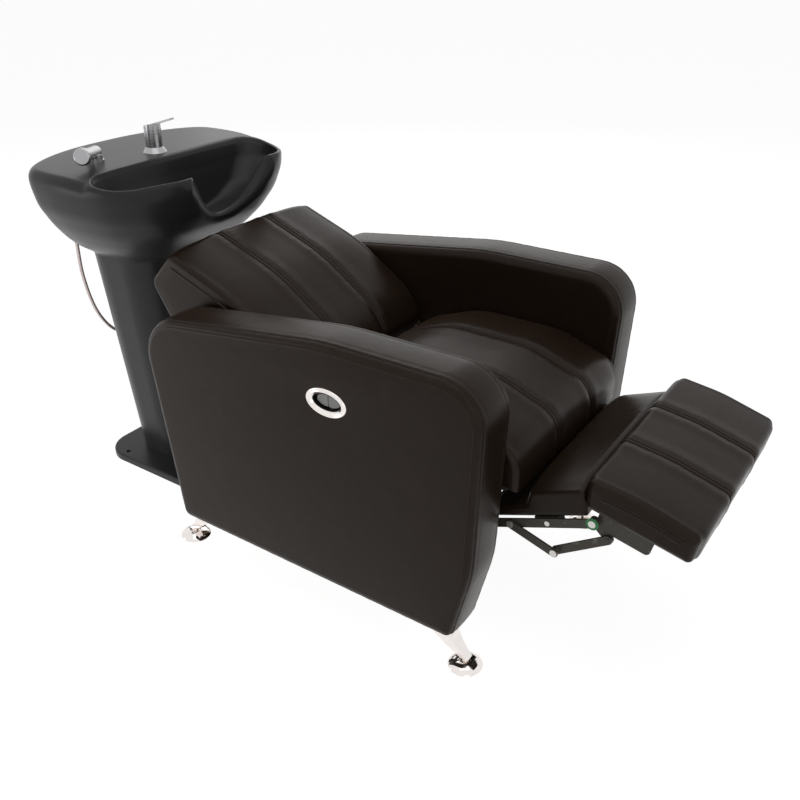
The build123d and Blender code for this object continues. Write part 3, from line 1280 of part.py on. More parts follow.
def hose_radii(points):
    """Largest even bend at each corner: a share of its shorter run over the tangent of half the turn."""
    vectors = [Vector(*b) - Vector(*a) for a, b in zip(points, points[1:])]
    radii = []
    for before, after in zip(vectors, vectors[1:]):
        half_turn = math.radians(before.get_angle(after)) / 2
        radii.append(HOSE_BEND_SHARE * min(before.length, after.length) / math.tan(half_turn))
    return radii


def spray_hose():
    radii = hose_radii(HOSE_POINTS)
    path = FilletPolyline(*HOSE_POINTS, radius=radii)
    start = Plane(origin=path @ 0, z_dir=path % 0)
    hose = sweep(start * Circle(HOSE_RADIUS), path=path)
    print("spray hose radii", [round(radius) for radius in radii], "length", round(path.length))
    print("spray hose volume share of section times length",
          round(hose.volume / (math.pi * HOSE_RADIUS ** 2 * path.length), 4))
    return hose


def gland(point, radius):
    """An upright gland with its lower face at a point."""
    return Pos(*point) * Cylinder(radius, GLAND_LENGTH, align=LOWEST)


def hose_glands():
    """Glands where the two ends of the hose come out of the basin's underside."""
    return joined([gland(end, GLAND_RADIUS) for end in (HOSE_POINTS[0], HOSE_POINTS[-1])])


def supply_hose(side):
    """One supply hose from the tap's tail down the column, with a nut at its foot."""
    high = DECK_Z - TAP_TAIL_LENGTH
    near = side * SUPPLY_SPACING / 2
    far = side * SUPPLY_SPREAD / 2
    points = [
        (near, TAP_Y, high),
        (near, TAP_Y, high - SUPPLY_DROP),
        (far, COLUMN_Y, high - SUPPLY_DROP - SUPPLY_SWING),
        (far, COLUMN_Y, SUPPLY_LOW_Z),
    ]
    hose = round_pipe(points, [SUPPLY_DROP / 2, SUPPLY_DROP], SUPPLY_RADIUS)
    nut = Pos(far, COLUMN_Y, SUPPLY_LOW_Z - SUPPLY_NUT_LENGTH)
    nut *= Cylinder(SUPPLY_NUT_RADIUS, SUPPLY_NUT_LENGTH, align=LOWEST)
    return hose + nut


def inner_hose(high, low):
    """Stretch of the spray hose inside the basin, from a high point to the top of a gland."""
    points = [
        high,
        (high[0], high[1], high[2] - INNER_HOSE_DROP),
        (low[0], low[1], low[2] + INNER_HOSE_RISE),
        low,
    ]
    return round_pipe(points, [INNER_HOSE_DROP / 2, INNER_HOSE_RISE / 2], HOSE_RADIUS)


def inner_hoses():
    """Hot and cold supply hoses and the two hidden stretches of the spray hose."""
    stem_foot = DECK_Z + HOLDER_HEIGHT + SPRAYER_AXIS_RISE - SPRAYER_STEM_LENGTH
    first, last = [(end[0], end[1], end[2] + GLAND_LENGTH) for end in (HOSE_POINTS[0], HOSE_POINTS[-1])]
    to_sprayer = inner_hose((HOLDER_X, HOLDER_Y, stem_foot - SOFT_GAP), first)
    to_tap = inner_hose((0, TAP_Y + TAP_TAIL_RADIUS - HOSE_RADIUS, DECK_Z - TAP_TAIL_LENGTH), last)
    return joined([supply_hose(-1), supply_hose(1), to_sprayer, to_tap])


def build():
    nodes = {}
    nodes.update(arms())
    nodes["seat_cushion"] = seat_cushion()
    nodes["seat_board"] = seat_board()
    board = back_board()
    nodes["back_board"] = board
    nodes["back_cushion"] = back_cushion(board)
    nodes["footrest_pad"] = footrest_pad()
    nodes["footrest_board"] = footrest_board()
    nodes["bridge_pad"] = bridge_pad()
    nodes["bridge_board"] = bridge_board()
    nodes.update(linkage())
    nodes["front_cross_tube"] = cross_tube()
    nodes["rear_stretcher"] = rear_stretcher()
    nodes["handle_bezel"] = handle_bezel()
    nodes["handle_cup"] = handle_cup()
    nodes["handle_paddle"] = handle_paddle()
    nodes["handle_pin"] = handle_pin_solid(HANDLE_PIN_RADIUS)
    nodes["release_cable"] = release_cable()
    nodes.update(legs())
    nodes["base_plate"] = base_plate()
    nodes["column_shell"] = column_shell()
    nodes["access_cover"] = access_cover()
    nodes["connecting_straps"] = connecting_straps()
    nodes["basin"] = basin()
    nodes["drain_fitting"] = drain_fitting()
    nodes["strainer"] = strainer()
    nodes["waste_pipe"] = waste_pipe()
    nodes["tap_body"] = tap_body()
    nodes["tap_cap"] = tap_cap()
    nodes["tap_lever"] = tap_lever()
    nodes["spray_holder"] = spray_holder()
    nodes["hand_sprayer"] = hand_sprayer()
    nodes["spray_hose"] = spray_hose()
    nodes["hose_glands"] = hose_glands()
    nodes["inner_hoses"] = inner_hoses()
    return nodes


os.makedirs("parts", exist_ok=True)
NODES = build()
for node_name, node_shape in NODES.items():
    export_step(node_shape, "parts/" + node_name + ".step")
print(len(NODES), "nodes")
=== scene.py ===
"""Looks of the hair washing bed: a reclining armchair with its footrest out and a pedestal shampoo basin.

Metres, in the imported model's frame. X runs across the chair, -Y is the footrest end, Z is up.
"""

import json
import math

import bpy
import numpy as np
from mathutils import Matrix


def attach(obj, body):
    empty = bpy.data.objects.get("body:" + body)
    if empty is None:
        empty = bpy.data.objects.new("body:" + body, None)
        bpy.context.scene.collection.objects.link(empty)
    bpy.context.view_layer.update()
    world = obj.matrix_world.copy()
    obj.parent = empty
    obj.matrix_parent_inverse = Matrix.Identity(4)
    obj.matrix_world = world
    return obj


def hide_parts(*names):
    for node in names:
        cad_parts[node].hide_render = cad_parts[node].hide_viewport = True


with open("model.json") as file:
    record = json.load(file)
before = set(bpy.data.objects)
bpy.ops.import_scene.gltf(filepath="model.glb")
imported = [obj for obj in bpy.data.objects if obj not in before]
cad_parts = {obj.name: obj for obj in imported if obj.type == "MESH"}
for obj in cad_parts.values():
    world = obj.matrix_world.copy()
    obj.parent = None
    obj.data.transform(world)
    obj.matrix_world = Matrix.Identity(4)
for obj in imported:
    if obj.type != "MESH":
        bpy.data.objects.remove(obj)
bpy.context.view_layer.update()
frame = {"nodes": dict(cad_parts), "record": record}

# Camera, solved from the photograph's vanishing points
CAMERA_PLACE = (-1.442, -1.069, 1.333)
CAMERA_AZIMUTH = math.radians(-55.8)
CAMERA_ELEVATION = math.radians(29.0)
CAMERA_LENS = 39.8
CAMERA_SENSOR = 36.0

# Arms
ARM_FRONT_Y = -0.490
ARM_LENGTH = 0.822
ARM_BASE_Z = 0.107
ARM_HEIGHT = 0.555
ARM_OUTER_X = 0.350
ARM_INNER_X = 0.237
PANEL_DEPTH = 0.012
BAND_DEPTH = 0.012
SEAM_DIP = 0.0022
SHOULDER = 0.020
ARM_COUNT = 520
BAND_ROUND = 0.007
BAND_FLAT = 0.010
BAND_FALL_SHARE = 0.62
BAND_CROWN = 0.0022
BAND_EDGE_STEPS = 8
BAND_FLAT_STEPS = 16
SHOULDER_STEPS = 16
PANEL_STITCH_STEP = 12
PANEL_STITCH_LEAN = (0.55, 0.85)
PANEL_EDGE_TUCK = 0.004
PANEL_FACE_START = 0.975
PANEL_FACE_RINGS = 34
PANEL_MIDDLE_SHARE = 0.02
OUTER_SWELL = 0.0022
INNER_SWELL = 0.0008
ARM_STITCH_START = 0.02
# Grooves: distance from the seam, depth, width
BAND_TOPSTITCH = (0.0105, 0.0009, 0.0016)
PANEL_TOPSTITCH = (0.0105, 0.0008, 0.0013)
# Puckers: seed, waves, height, distance from the seam, reach
BAND_PUCKER = (11, 260.0, 0.00035, 0.004, 0.010)
PANEL_PUCKER = (23, 240.0, 0.0004, 0.005, 0.008)
# Share of the length from the front, share of the height, share of the height as radius
ARM_SHARES = [
    (0.064, 0.000, 0.030),
    (0.016, 0.300, 0.550),
    (0.000, 1.000, 0.155),
    (0.420, 0.995, 1.100),
    (1.008, 0.872, 0.185),
    (0.935, 0.000, 0.040),
]

# Release handle in the outer face of the right arm, as (y, z)
HANDLE_PLACE = np.array([-0.164, 0.545])
HANDLE_POCKET = np.array([0.0343, 0.0183])
HANDLE_OUTER = np.array([0.047, 0.029])
HANDLE_MOUTH = np.array([0.032, 0.016])
HANDLE_COUNT = 96
RECESS_DEPTHS = (0.0005, 0.006, PANEL_DEPTH)
# Bezel section from the rim to the mouth: share of the way in, height over the panel
HANDLE_SECTION = [
    (0.00, -0.0010),
    (0.00, 0.0014),
    (0.05, 0.0030),
    (0.15, 0.0040),
    (0.26, 0.0036),
    (0.33, 0.0026),
    (0.40, 0.0025),
    (0.47, 0.0036),
    (0.56, 0.0043),
    (0.64, 0.0038),
    (0.74, 0.0020),
    (0.86, 0.0004),
    (0.97, -0.0010),
    (1.00, -0.0016),
    (0.99, -0.0024),
]

# Cushions
SEAM_X = 0.077
STITCH_GAP = 0.0047
STITCH_PITCH = 0.0068
STITCH_LENGTH = 0.0042
STITCH_RADIUS = 0.00062
STITCH_AROUND = 6
STITCH_AHEAD = 0.001
# Along a stitch: share of its half length, share of its radius, rise in radii
STITCH_STATIONS = np.array([-1.0, -0.72, 0.0, 0.72, 1.0])
STITCH_GIRTH = np.array([0.15, 0.75, 1.0, 0.75, 0.15])
STITCH_SINK = np.array([-1.3, -0.25, 0.35, -0.25, -1.3])
CROWN_SHARES = (0.34, 0.66)
CROWN_POWERS = (2, 9)
SEAM_GROOVE_WIDTH = 0.0016
WELT_SINK = 0.0004
WELT_RISE = 0.0010
WELT_WIDTH = 0.0024
SEAM_SWELL = (0.022, 0.0014, 0.012)
SEAM_REACH = 0.022
SEAM_CLEAR = 0.024
SEAM_STATIONS = 55
PLAIN_STATIONS = 44
CUSHION_PUCKER = (230.0, 0.00045, 0.012, 0.010)
LINE_COUNT = 320
# Cushion ends: rings round the edge, step between rings on the face, rings that close the middle
END_TURNS = 13
RING_STEP = 0.0008
CLOSING_RINGS = 9
SIDE_GROOVE = (0.0018, 0.0012)
SIDE_WELT = (0.0009, 0.0018)
SIDE_WELT_OFFSET = 0.0030
SIDE_SWELL_REACH = 0.08
SEAT_START = (-0.509, 0.402)
SEAT_SIZE = (0.477, 0.146)
SEAT_PULL = 0.009
SEAT_SIDE_DROP = 0.027
SEAT_HALF_WIDTH = 0.232
SEAT_SHARES = [
    (0.000, 0.000, 0.040),
    (0.000, 0.640, 0.450),
    (0.300, 1.000, 1.600),
    (0.720, 0.990, 1.600),
    (0.985, 0.640, 0.300),
    (0.985, 0.000, 0.040),
]
BACK_START = (-0.002, 0.428)
BACK_SIZE = (0.430, 0.270)
BACK_PULL = 0.008
BACK_SIDE_DROP = 0.016
BACK_HALF_WIDTH = 0.232
BACK_SHARES = [
    (0.040, 0.000, 0.090),
    (0.000, 0.170, 0.130),
    (0.075, 0.400, 0.600),
    (0.420, 0.770, 1.500),
    (0.835, 1.010, 0.090),
    (1.005, 0.715, 0.110),
    (0.800, 0.190, 0.120),
    (0.330, 0.010, 0.300),
]
FOOT_BACK_TOP = (-0.628, 0.494)
FOOT_TILT = math.radians(12.2)
FOOT_LENGTH = 0.216
FOOT_THICKNESS = 0.063
FOOT_CORNER = 0.034
FOOT_CORNER_FULLNESS = 0.96
FOOT_SIDE_DROP = 0.003
FOOT_HALF_WIDTH = 0.2365
FOOT_SHARES = [
    (0.060, -1.000, 0.180),
    (0.000, 0.000, 0.260),
    (0.450, 0.120, 5.000),
    (1.000, 0.000, 0.260),
    (1.010, -1.000, 0.160),
]
BRIDGE_START = 0.044
BRIDGE_LENGTH = 0.196
BRIDGE_BASE = 0.0115
BRIDGE_THICKNESS = 0.0665
BRIDGE_SIDE_DROP = 0.018
BRIDGE_HALF_WIDTH = 0.223
BRIDGE_SHARES = [
    (0.000, 0.000, 0.100),
    (0.000, 0.470, 0.140),
    (0.385, 0.520, 0.090),
    (0.470, 1.000, 0.200),
    (1.045, 1.000, 0.200),
    (0.985, 0.000, 0.100),
]
BRIDGE_PIN = np.array([-0.420, 0.304])
BRIDGE_ALONG = np.array([-0.227, 0.092]) / math.hypot(0.227, 0.092)
BRIDGE_SQUARE = np.array([BRIDGE_ALONG[1], -BRIDGE_ALONG[0]])

# Basin
DECK_Z = 0.827
COLUMN_TOP_Z = 0.600
COLUMN_Y = 0.655
RIM_HALF_WIDTH = 0.284
RIM_FRONT_REACH = 0.300
RIM_BACK_REACH = 0.174
RIM_ARC_SHARES = [
    ((0.000, 1.000), (0.440, 0.945), (0.817, 0.695)),
    ((0.817, 0.695), (0.944, 0.534), (0.989, 0.259)),
    ((0.989, 0.259), (1.000, -0.215), (0.944, -0.600)),
    ((0.944, -0.600), (0.796, -0.790), (0.581, -0.957)),
    ((0.581, -0.957), (0.528, -0.993), (0.458, -1.000)),
]
HULL_SHARES = [
    (0.000, 0.530, 0.440, 0.740),
    (0.088, 0.650, 0.543, 0.782),
    (0.220, 0.765, 0.667, 0.839),
    (0.396, 0.870, 0.800, 0.908),
    (0.617, 0.965, 0.917, 0.971),
    (0.837, 1.000, 0.987, 1.000),
    (1.000, 0.997, 0.997, 0.997),
]
BOWL_FRONT_Y = 0.376
BOWL_BACK_Y = 0.564
BOWL_HALF_WIDTH = 0.264
BOWL_DEPTH = 0.138
BOWL_SHARES = [
    (0.000, 1.000, 0.000, 0.000, 0.560),
    (0.330, 0.950, 0.080, 0.030, 0.640),
    (0.700, 0.760, 0.190, 0.090, 0.700),
    (0.930, 0.480, 0.330, 0.130, 0.740),
    (1.000, 0.300, 0.460, 0.150, 0.700),
]
NOTCH_HALF_WIDTH = 0.134
NOTCH_DEPTH = 0.112
SADDLE_DIP = 0.014
SADDLE_Y = 0.470
SADDLE_REACH = 0.085
SADDLE_START = 0.15
SADDLE_FADE = 0.08
NOTCH_BACK = 0.11
NOTCH_FADE = 0.05
NOTCH_POWERS = (2.3, 0.72)
RIM_LIP = 0.011
RIM_BLEND = 0.008
RIM_SHOULDER = (0.020, 0.026)
RIM_ROUND = 0.006
# The bowl's far edge is softer: where that starts, over what width, and how much rounder it gets
SOFT_START = -0.07
SOFT_REACH = 0.22
SOFT_ROUND = 0.034
ROUND_SHARE = 0.35
ROUND_ROOM = 1.3
EDGE_SAG = 0.0068
SHOULDER_SLOPE = 1.6
DEEPEST_SINK = 0.95
FIRST_BOWL_STEP = 0.055
FLOOR_START = 0.85
HULL_RINGS = 46
TURN_RINGS = 14
EDGE_RINGS = 9
BOWL_RINGS = 22
FLOOR_RINGS = 6
BOWL_POINTS = 900
DRAIN_RADIUS = 0.0222
DRAIN_DEPTH = 0.024
BASIN_COUNT = 560
RIM_SMOOTHING = 45
BOWL_MIDDLE = np.array([0.0, 0.472])
HULL_STEPS = 200
HULL_SMOOTHING = 25

# Spray hose: the same points as the solid's route
HOSE_DIAMETER = 0.009
HOSE_POINTS = [
    (-0.160, 0.764, 0.630),
    (-0.160, 0.764, 0.602),
    (-0.160, 0.765, 0.572),
    (-0.157, 0.769, 0.540),
    (-0.150, 0.773, 0.504),
    (-0.141, 0.777, 0.466),
    (-0.128, 0.781, 0.426),
    (-0.110, 0.785, 0.390),
    (-0.084, 0.789, 0.354),
    (-0.050, 0.793, 0.326),
    (-0.008, 0.796, 0.314),
    (0.034, 0.798, 0.322),
    (0.070, 0.798, 0.352),
    (0.094, 0.796, 0.396),
    (0.106, 0.791, 0.444),
    (0.111, 0.782, 0.496),
    (0.113, 0.772, 0.548),
    (0.113, 0.768, 0.580),
    (0.113, 0.768, 0.606),
]


# Sockets of a Mix node that mixes colours
MIX_FACTOR, MIX_FIRST, MIX_SECOND, MIX_RESULT = 0, 6, 7, 2


# Shader values
class Value:
    """A shader socket. Arithmetic on it adds Math nodes."""

    def __init__(self, shade, socket):
        self.shade = shade
        self.socket = socket

    def math(self, operation, *others):
        inputs = dict(enumerate((self,) + others))
        return self.shade.node("ShaderNodeMath", inputs, operation=operation)

    def __add__(self, other):
        return self.math("ADD", other)

    __radd__ = __add__

    def __sub__(self, other):
        return self.math("SUBTRACT", other)

    def __mul__(self, other):
        return self.math("MULTIPLY", other)


class Shade:
    """A material with one Principled skin, and a method that adds any other node."""

    def __init__(self, name, **skin):
        self.material = bpy.data.materials.new(name)
        self.material.use_nodes = True
        self.tree = self.material.node_tree
        self.skin = self.tree.nodes["Principled BSDF"]
        self.place = self.node("ShaderNodeTexCoord", out="Object")
        for socket, value in skin.items():
            self.set(socket.replace("_", " "), value)

    def set(self, socket, value):
        self.fill(self.skin.inputs[socket], value)

    def fill(self, socket, value):
        if isinstance(value, Value):
            self.tree.links.new(value.socket, socket)
        elif isinstance(value, tuple) and len(value) == 3 and socket.type == "RGBA":
            socket.default_value = value + (1.0,)
        else:
            socket.default_value = value

    def node(self, kind, inputs=None, out=0, **settings):
        made = self.tree.nodes.new(kind)
        for key, value in settings.items():
            setattr(made, key, value)
        for key, value in (inputs or {}).items():
            self.fill(made.inputs[key], value)
        return Value(self, made.outputs[out])

    def noise(self, scale, detail=3.0, rough=0.55, place=None):
        inputs = {"Vector": place or self.place, "Scale": scale, "Detail": detail, "Roughness": rough}
        return self.node("ShaderNodeTexNoise", inputs)

    def cells(self, scale):
        """Distance to the nearest cell's middle, with soft borders."""
        inputs = {"Vector": self.place, "Scale": scale}
        return self.node("ShaderNodeTexVoronoi", inputs, out="Distance", feature="SMOOTH_F1")

    def band(self, value, low, high):
        """A smooth step from 0 at low to 1 at high."""
        inputs = {"Value": value, "From Min": low, "From Max": high}
        return self.node("ShaderNodeMapRange", inputs, interpolation_type="SMOOTHSTEP")

    def mix(self, factor, first, second):
        inputs = {MIX_FACTOR: factor, MIX_FIRST: first, MIX_SECOND: second}
        made = self.tree.nodes.new("ShaderNodeMix")
        made.data_type = "RGBA"
        for key, value in inputs.items():
            self.fill(made.inputs[key], value)
        return Value(self, made.outputs[MIX_RESULT])

    def bump(self, height, distance, strength=1.0, under=None):
        inputs = {"Height": height, "Distance": distance, "Strength": strength}
        if under:
            inputs["Normal"] = under
        return self.node("ShaderNodeBump", inputs)


def toned(colour, share):
    """A colour with each part times a share."""
    return tuple(share * part for part in colour)


def leatherette(name, dark, light, roughness):
    """Coated fabric: pebbled grain, faint creases and a slow change of tone."""
    shade = Shade(name, Specular_IOR_Level=0.14)
    grain = shade.cells(scale=780.0)
    pores = shade.noise(scale=1500.0, detail=2.0)
    creases = shade.noise(scale=38.0, detail=5.0, rough=0.6)
    tone = shade.noise(scale=4.5, detail=3.0)
    rubbed = shade.band(shade.noise(scale=16.0, detail=4.0), low=0.45, high=0.75)
    shade.set("Base Color", shade.mix(tone * 0.7 + rubbed * 0.3, dark, light))
    shade.set("Roughness", roughness + (tone - 0.5) * 0.10 + (grain - 0.4) * 0.10)
    wide = shade.bump(creases, distance=0.0012, strength=0.35)
    fine = shade.bump(grain + pores * 0.35, distance=0.00030, strength=0.55, under=wide)
    shade.set("Normal", fine)
    return shade.material


def glaze(name, colour, roughness, orange_peel):
    """Glossy black shell with a faint orange peel and dust-fine scuffs in its gloss."""
    shade = Shade(name, Specular_IOR_Level=0.20)
    drift = shade.noise(scale=3.0, detail=3.0)
    scuffs = shade.band(shade.noise(scale=55.0, detail=6.0, rough=0.7), low=0.55, high=0.85)
    shade.set("Base Color", shade.mix(drift, toned(colour, 0.75), toned(colour, 1.25)))
    shade.set("Roughness", roughness + scuffs * 0.08 + (drift - 0.5) * 0.06)
    shade.set("Normal", shade.bump(shade.noise(scale=120.0, detail=2.0), distance=orange_peel, strength=0.25))
    return shade.material


def plated(name, colour, roughness, smear=0.05):
    """Plated metal with polishing haze and faint finger marks."""
    shade = Shade(name, Metallic=1.0)
    haze = shade.noise(scale=22.0, detail=4.0)
    marks = shade.band(shade.noise(scale=90.0, detail=3.0), low=0.5, high=0.8)
    shade.set("Base Color", shade.mix(haze, toned(colour, 0.88), colour))
    shade.set("Roughness", roughness + haze * smear + marks * smear * 0.6)
    shade.set("Normal", shade.bump(shade.noise(scale=60.0, detail=2.0), distance=0.0004, strength=0.10))
    return shade.material


def painted_steel(name, colour):
    """Black painted strip steel, worn brighter in patches, with mill scale in its bump."""
    shade = Shade(name, Metallic=0.0)
    worn = shade.band(shade.noise(scale=70.0, detail=6.0, rough=0.65), low=0.56, high=0.72)
    grit = shade.noise(scale=650.0, detail=3.0)
    shade.set("Base Color", shade.mix(worn, colour, (0.20, 0.19, 0.175)))
    shade.set("Metallic", worn * 0.8)
    shade.set("Roughness", 0.42 + grit * 0.12 - worn * 0.10)
    shade.set("Normal", shade.bump(grit, distance=0.00015, strength=0.5))
    return shade.material


def moulded(name, colour, roughness):
    """Moulded plastic with a fine spark-eroded grain."""
    shade = Shade(name)
    grain = shade.noise(scale=900.0, detail=2.0)
    drift = shade.noise(scale=12.0, detail=2.0)
    shade.set("Base Color", shade.mix(drift, toned(colour, 0.85), colour))
    shade.set("Roughness", roughness + (grain - 0.5) * 0.1)
    shade.set("Normal", shade.bump(grain, distance=0.00008, strength=0.5))
    return shade.material


def timber(name):
    """Plywood: growth rings stretched along X, with plies in the tone."""
    shade = Shade(name)
    stretched = shade.node("ShaderNodeMapping", {"Vector": shade.place, "Scale": (1.5, 14.0, 14.0)})
    waves = {"Vector": stretched, "Scale": 2.2, "Distortion": 6.0, "Detail": 4.0}
    rings = shade.node("ShaderNodeTexWave", waves, out="Fac")
    fibre = shade.noise(scale=240.0, detail=4.0, place=stretched)
    shade.set("Base Color", shade.mix(rings, (0.50, 0.34, 0.18), (0.66, 0.49, 0.29)))
    shade.set("Roughness", 0.62 + fibre * 0.15)
    shade.set("Normal", shade.bump(fibre, distance=0.0002, strength=0.5))
    return shade.material


def hose_metal(name):
    """Pale spiral-wound hose, a little pink."""
    shade = Shade(name, Metallic=0.65)
    drift = shade.noise(scale=60.0, detail=3.0)
    shade.set("Base Color", shade.mix(drift, (0.60, 0.50, 0.47), (0.82, 0.74, 0.71)))
    shade.set("Roughness", 0.30 + drift * 0.12)
    return shade.material


def thread(name):
    """Twisted sewing thread."""
    shade = Shade(name)
    twist = shade.noise(scale=2600.0, detail=1.0)
    shade.set("Base Color", shade.mix(twist, (0.020, 0.014, 0.011), (0.055, 0.042, 0.034)))
    shade.set("Roughness", 0.55 + twist * 0.1)
    shade.set("Normal", shade.bump(twist, distance=0.0001, strength=0.6))
    return shade.material


# The upholstery, basin glaze and pedestal gloss colours are about four to five times paler than the real
# materials: painted light that makes up for lamps kept far below a plain level.
FINISH = {
    "upholstery": leatherette("Upholstery", (0.032, 0.0195, 0.0125), (0.058, 0.036, 0.024), 0.31),
    "basin_glaze": glaze("Basin glaze", (0.066, 0.066, 0.067), 0.33, 0.0003),
    # The pedestal gloss is a paler copy of the basin glaze: painted light that makes up for the shade the
    # basin casts on the pedestal's base.
    "pedestal_gloss": glaze("Pedestal gloss", (0.088, 0.088, 0.091), 0.33, 0.0003),
    "chrome": plated("Chrome", (0.88, 0.83, 0.80), 0.05),
    "linkage_steel": painted_steel("Linkage steel", (0.085, 0.074, 0.058)),
    "rivet_steel": plated("Rivet steel", (0.62, 0.60, 0.57), 0.28),
    "nylon": moulded("Nylon", (0.10, 0.62, 0.20), 0.40),
    "black_moulding": moulded("Black moulding", (0.010, 0.010, 0.010), 0.38),
    "paddle_moulding": moulded("Paddle moulding", (0.80, 0.79, 0.77), 0.25),
    "timber": timber("Plywood"),
    "lining": moulded("Lining cloth", (0.012, 0.010, 0.009), 0.85),
    "hose_skin": hose_metal("Hose skin"),
    "inner_hose": moulded("Inner hose", (0.10, 0.10, 0.10), 0.6),
    "drain_metal": plated("Drain metal", (0.70, 0.69, 0.67), 0.18),
    "waste_plastic": moulded("Waste plastic", (0.70, 0.70, 0.69), 0.5),
}
THREAD = thread("Thread")
TAP_METAL = plated("Dull chrome", (0.40, 0.40, 0.41), 0.20)
TAP_NODES = ("tap_body", "tap_lever", "tap_cap", "hand_sprayer", "spray_holder")


# Meshes from arrays
def add_piece(name, points, faces, material, body, replaced=()):
    """Makes a mesh object from an array of points and a list of face index arrays."""
    mesh = bpy.data.meshes.new(name)
    corners = np.asarray(points, float).reshape(-1, 3).tolist()
    mesh.from_pydata(corners, [], [face.tolist() for face in faces])
    mesh.validate()
    mesh.update()
    mesh.polygons.foreach_set("use_smooth", [True] * len(mesh.polygons))
    mesh.materials.append(material)
    piece = bpy.data.objects.new(name, mesh)
    bpy.context.scene.collection.objects.link(piece)
    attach(piece, body)
    if replaced:
        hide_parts(*replaced)
    return piece


def grid_faces(rows, columns, wrap_rows=False):
    """Quads over a grid of closed rows of points, stored row by row."""
    r = np.arange(rows if wrap_rows else rows - 1)
    r, c = np.meshgrid(r, np.arange(columns), indexing="ij")
    below = ((r + 1) % rows) * columns
    beside = (c + 1) % columns
    quads = np.stack([r * columns + c, r * columns + beside, below + beside, below + c], -1)
    return quads.reshape(-1, 4)


def fan_faces(ring, centre, flip):
    """Triangles from a closed ring of point numbers to one centre point."""
    after = np.roll(ring, -1)
    middle = np.full_like(ring, centre)
    return np.stack([after, ring, middle] if flip else [ring, after, middle], -1)


def closed_tube(rows, flip=False):
    """Faces of a stack of closed rings, shut at both ends by a fan to the end ring's middle.
    rows is (rings, around, 3). Returns all points and faces."""
    count, around = rows.shape[:2]
    points = np.concatenate([rows.reshape(-1, 3), rows[:1].mean(1), rows[-1:].mean(1)])
    quads = grid_faces(count, around)
    if flip:
        quads = quads[:, ::-1]
    first = fan_faces(np.arange(around), count * around, not flip)
    last = fan_faces(np.arange(around) + (count - 1) * around, count * around + 1, flip)
    return points, list(quads) + list(first) + list(last)


LEAST_RADIUS = 0.0012
ARC_STEPS = 40


def rounded(corners, radii, count, inset=0.0):
    """Points evenly spaced round a closed polygon whose corners are arcs, with inward normals.
    Its sides first move inwards by inset. A corner's arc shrinks by inset where the outline turns
    outwards and grows by it where it turns inwards, so that no loop forms. Each arc touches its
    sides at radius over the tangent of half the corner's angle."""
    corners = np.asarray(corners, float)
    x, y = corners.T
    winding = np.sign(np.sum(x * np.roll(y, -1) - y * np.roll(x, -1)))
    pieces = []
    for index, corner in enumerate(corners):
        before = corners[index - 1] - corner
        after = corners[(index + 1) % len(corners)] - corner
        before /= np.linalg.norm(before)
        after /= np.linalg.norm(after)
        half = math.acos(float(np.clip(before @ after, -1, 1))) / 2
        outer = winding * (after[0] * before[1] - after[1] * before[0]) > 0
        bisector = (before + after) / np.linalg.norm(before + after)
        moved = corner + bisector * (inset if outer else -inset) / math.sin(half)
        radius = max(radii[index] - inset, LEAST_RADIUS) if outer else radii[index] + inset
        reach = radius / math.tan(half)
        middle = moved + bisector * radius / math.sin(half)
        start = moved + before * reach - middle
        end = moved + after * reach - middle
        turn = math.atan2(start[0] * end[1] - start[1] * end[0], start @ end)
        steps = np.linspace(0, turn, ARC_STEPS)
        spun = np.stack([
            start[0] * np.cos(steps) - start[1] * np.sin(steps),
            start[0] * np.sin(steps) + start[1] * np.cos(steps),
        ], -1)
        pieces.append(middle + spun)
    return even(np.concatenate(pieces), count)


def at_run(points, run, want):
    """Points of a line at the wanted lengths along it, between its own by straight lines."""
    return np.stack([np.interp(want, run, points[:, axis]) for axis in range(points.shape[1])], -1)


def even(points, count):
    """A closed line resampled to evenly spaced points, with its unit inward normals."""
    loop = np.concatenate([points, points[:1]])
    run = np.concatenate([[0], np.cumsum(np.linalg.norm(np.diff(loop, axis=0), axis=1))])
    want = np.linspace(0, run[-1], count, endpoint=False)
    spaced = at_run(loop, run, want)
    return spaced, inward(spaced)


def inward(points):
    """Unit normals of a closed line, pointing inside."""
    tangent = np.roll(points, -1, 0) - np.roll(points, 1, 0)
    tangent /= np.linalg.norm(tangent, axis=1, keepdims=True)
    normal = np.stack([-tangent[:, 1], tangent[:, 0]], -1)
    x, y = points.T
    area = np.sum(x * np.roll(y, -1) - y * np.roll(x, -1))
    return normal * np.sign(area)


def side_points(outline, x):
    """Side view points (y, z) placed at x."""
    return np.stack([np.broadcast_to(x, outline.shape[:-1]), outline[..., 0], outline[..., 1]], -1)


def ripple(run, seed, scale):
    """A smooth wandering value between about -1 and 1 along a length, from a few sines."""
    rng = np.random.default_rng(seed)
    total = np.zeros_like(run)
    for index in range(5):
        total += np.sin(run * scale * (0.6 + 0.5 * index) + rng.uniform(0, 2 * math.pi)) / (1 + 0.6 * index)
    return total / 2.4


def bell(distance, width):
    """Gaussian hump."""
    return np.exp(-(distance / width) ** 2)


def groove(distance, place, depth, width):
    """Depth of a sewn groove at a distance from the seam: a Gaussian hump round its place."""
    return depth * bell(distance - place, width)


def puckers(run, distance, seed, waves, height, place, reach):
    """Ripples along a run that fade as a Gaussian hump to both sides of their place beside a seam."""
    return ripple(run, seed, waves) * height * bell(distance - place, reach)


def one_run(kept):
    """Numbers of a ring's kept points in one run, also where that run crosses the ring's start."""
    order = np.flatnonzero(kept)
    breaks = np.flatnonzero(np.diff(order) > 1)
    if len(breaks):
        order = np.concatenate([order[breaks[0] + 1 :], order[: breaks[0] + 1]])
    return order


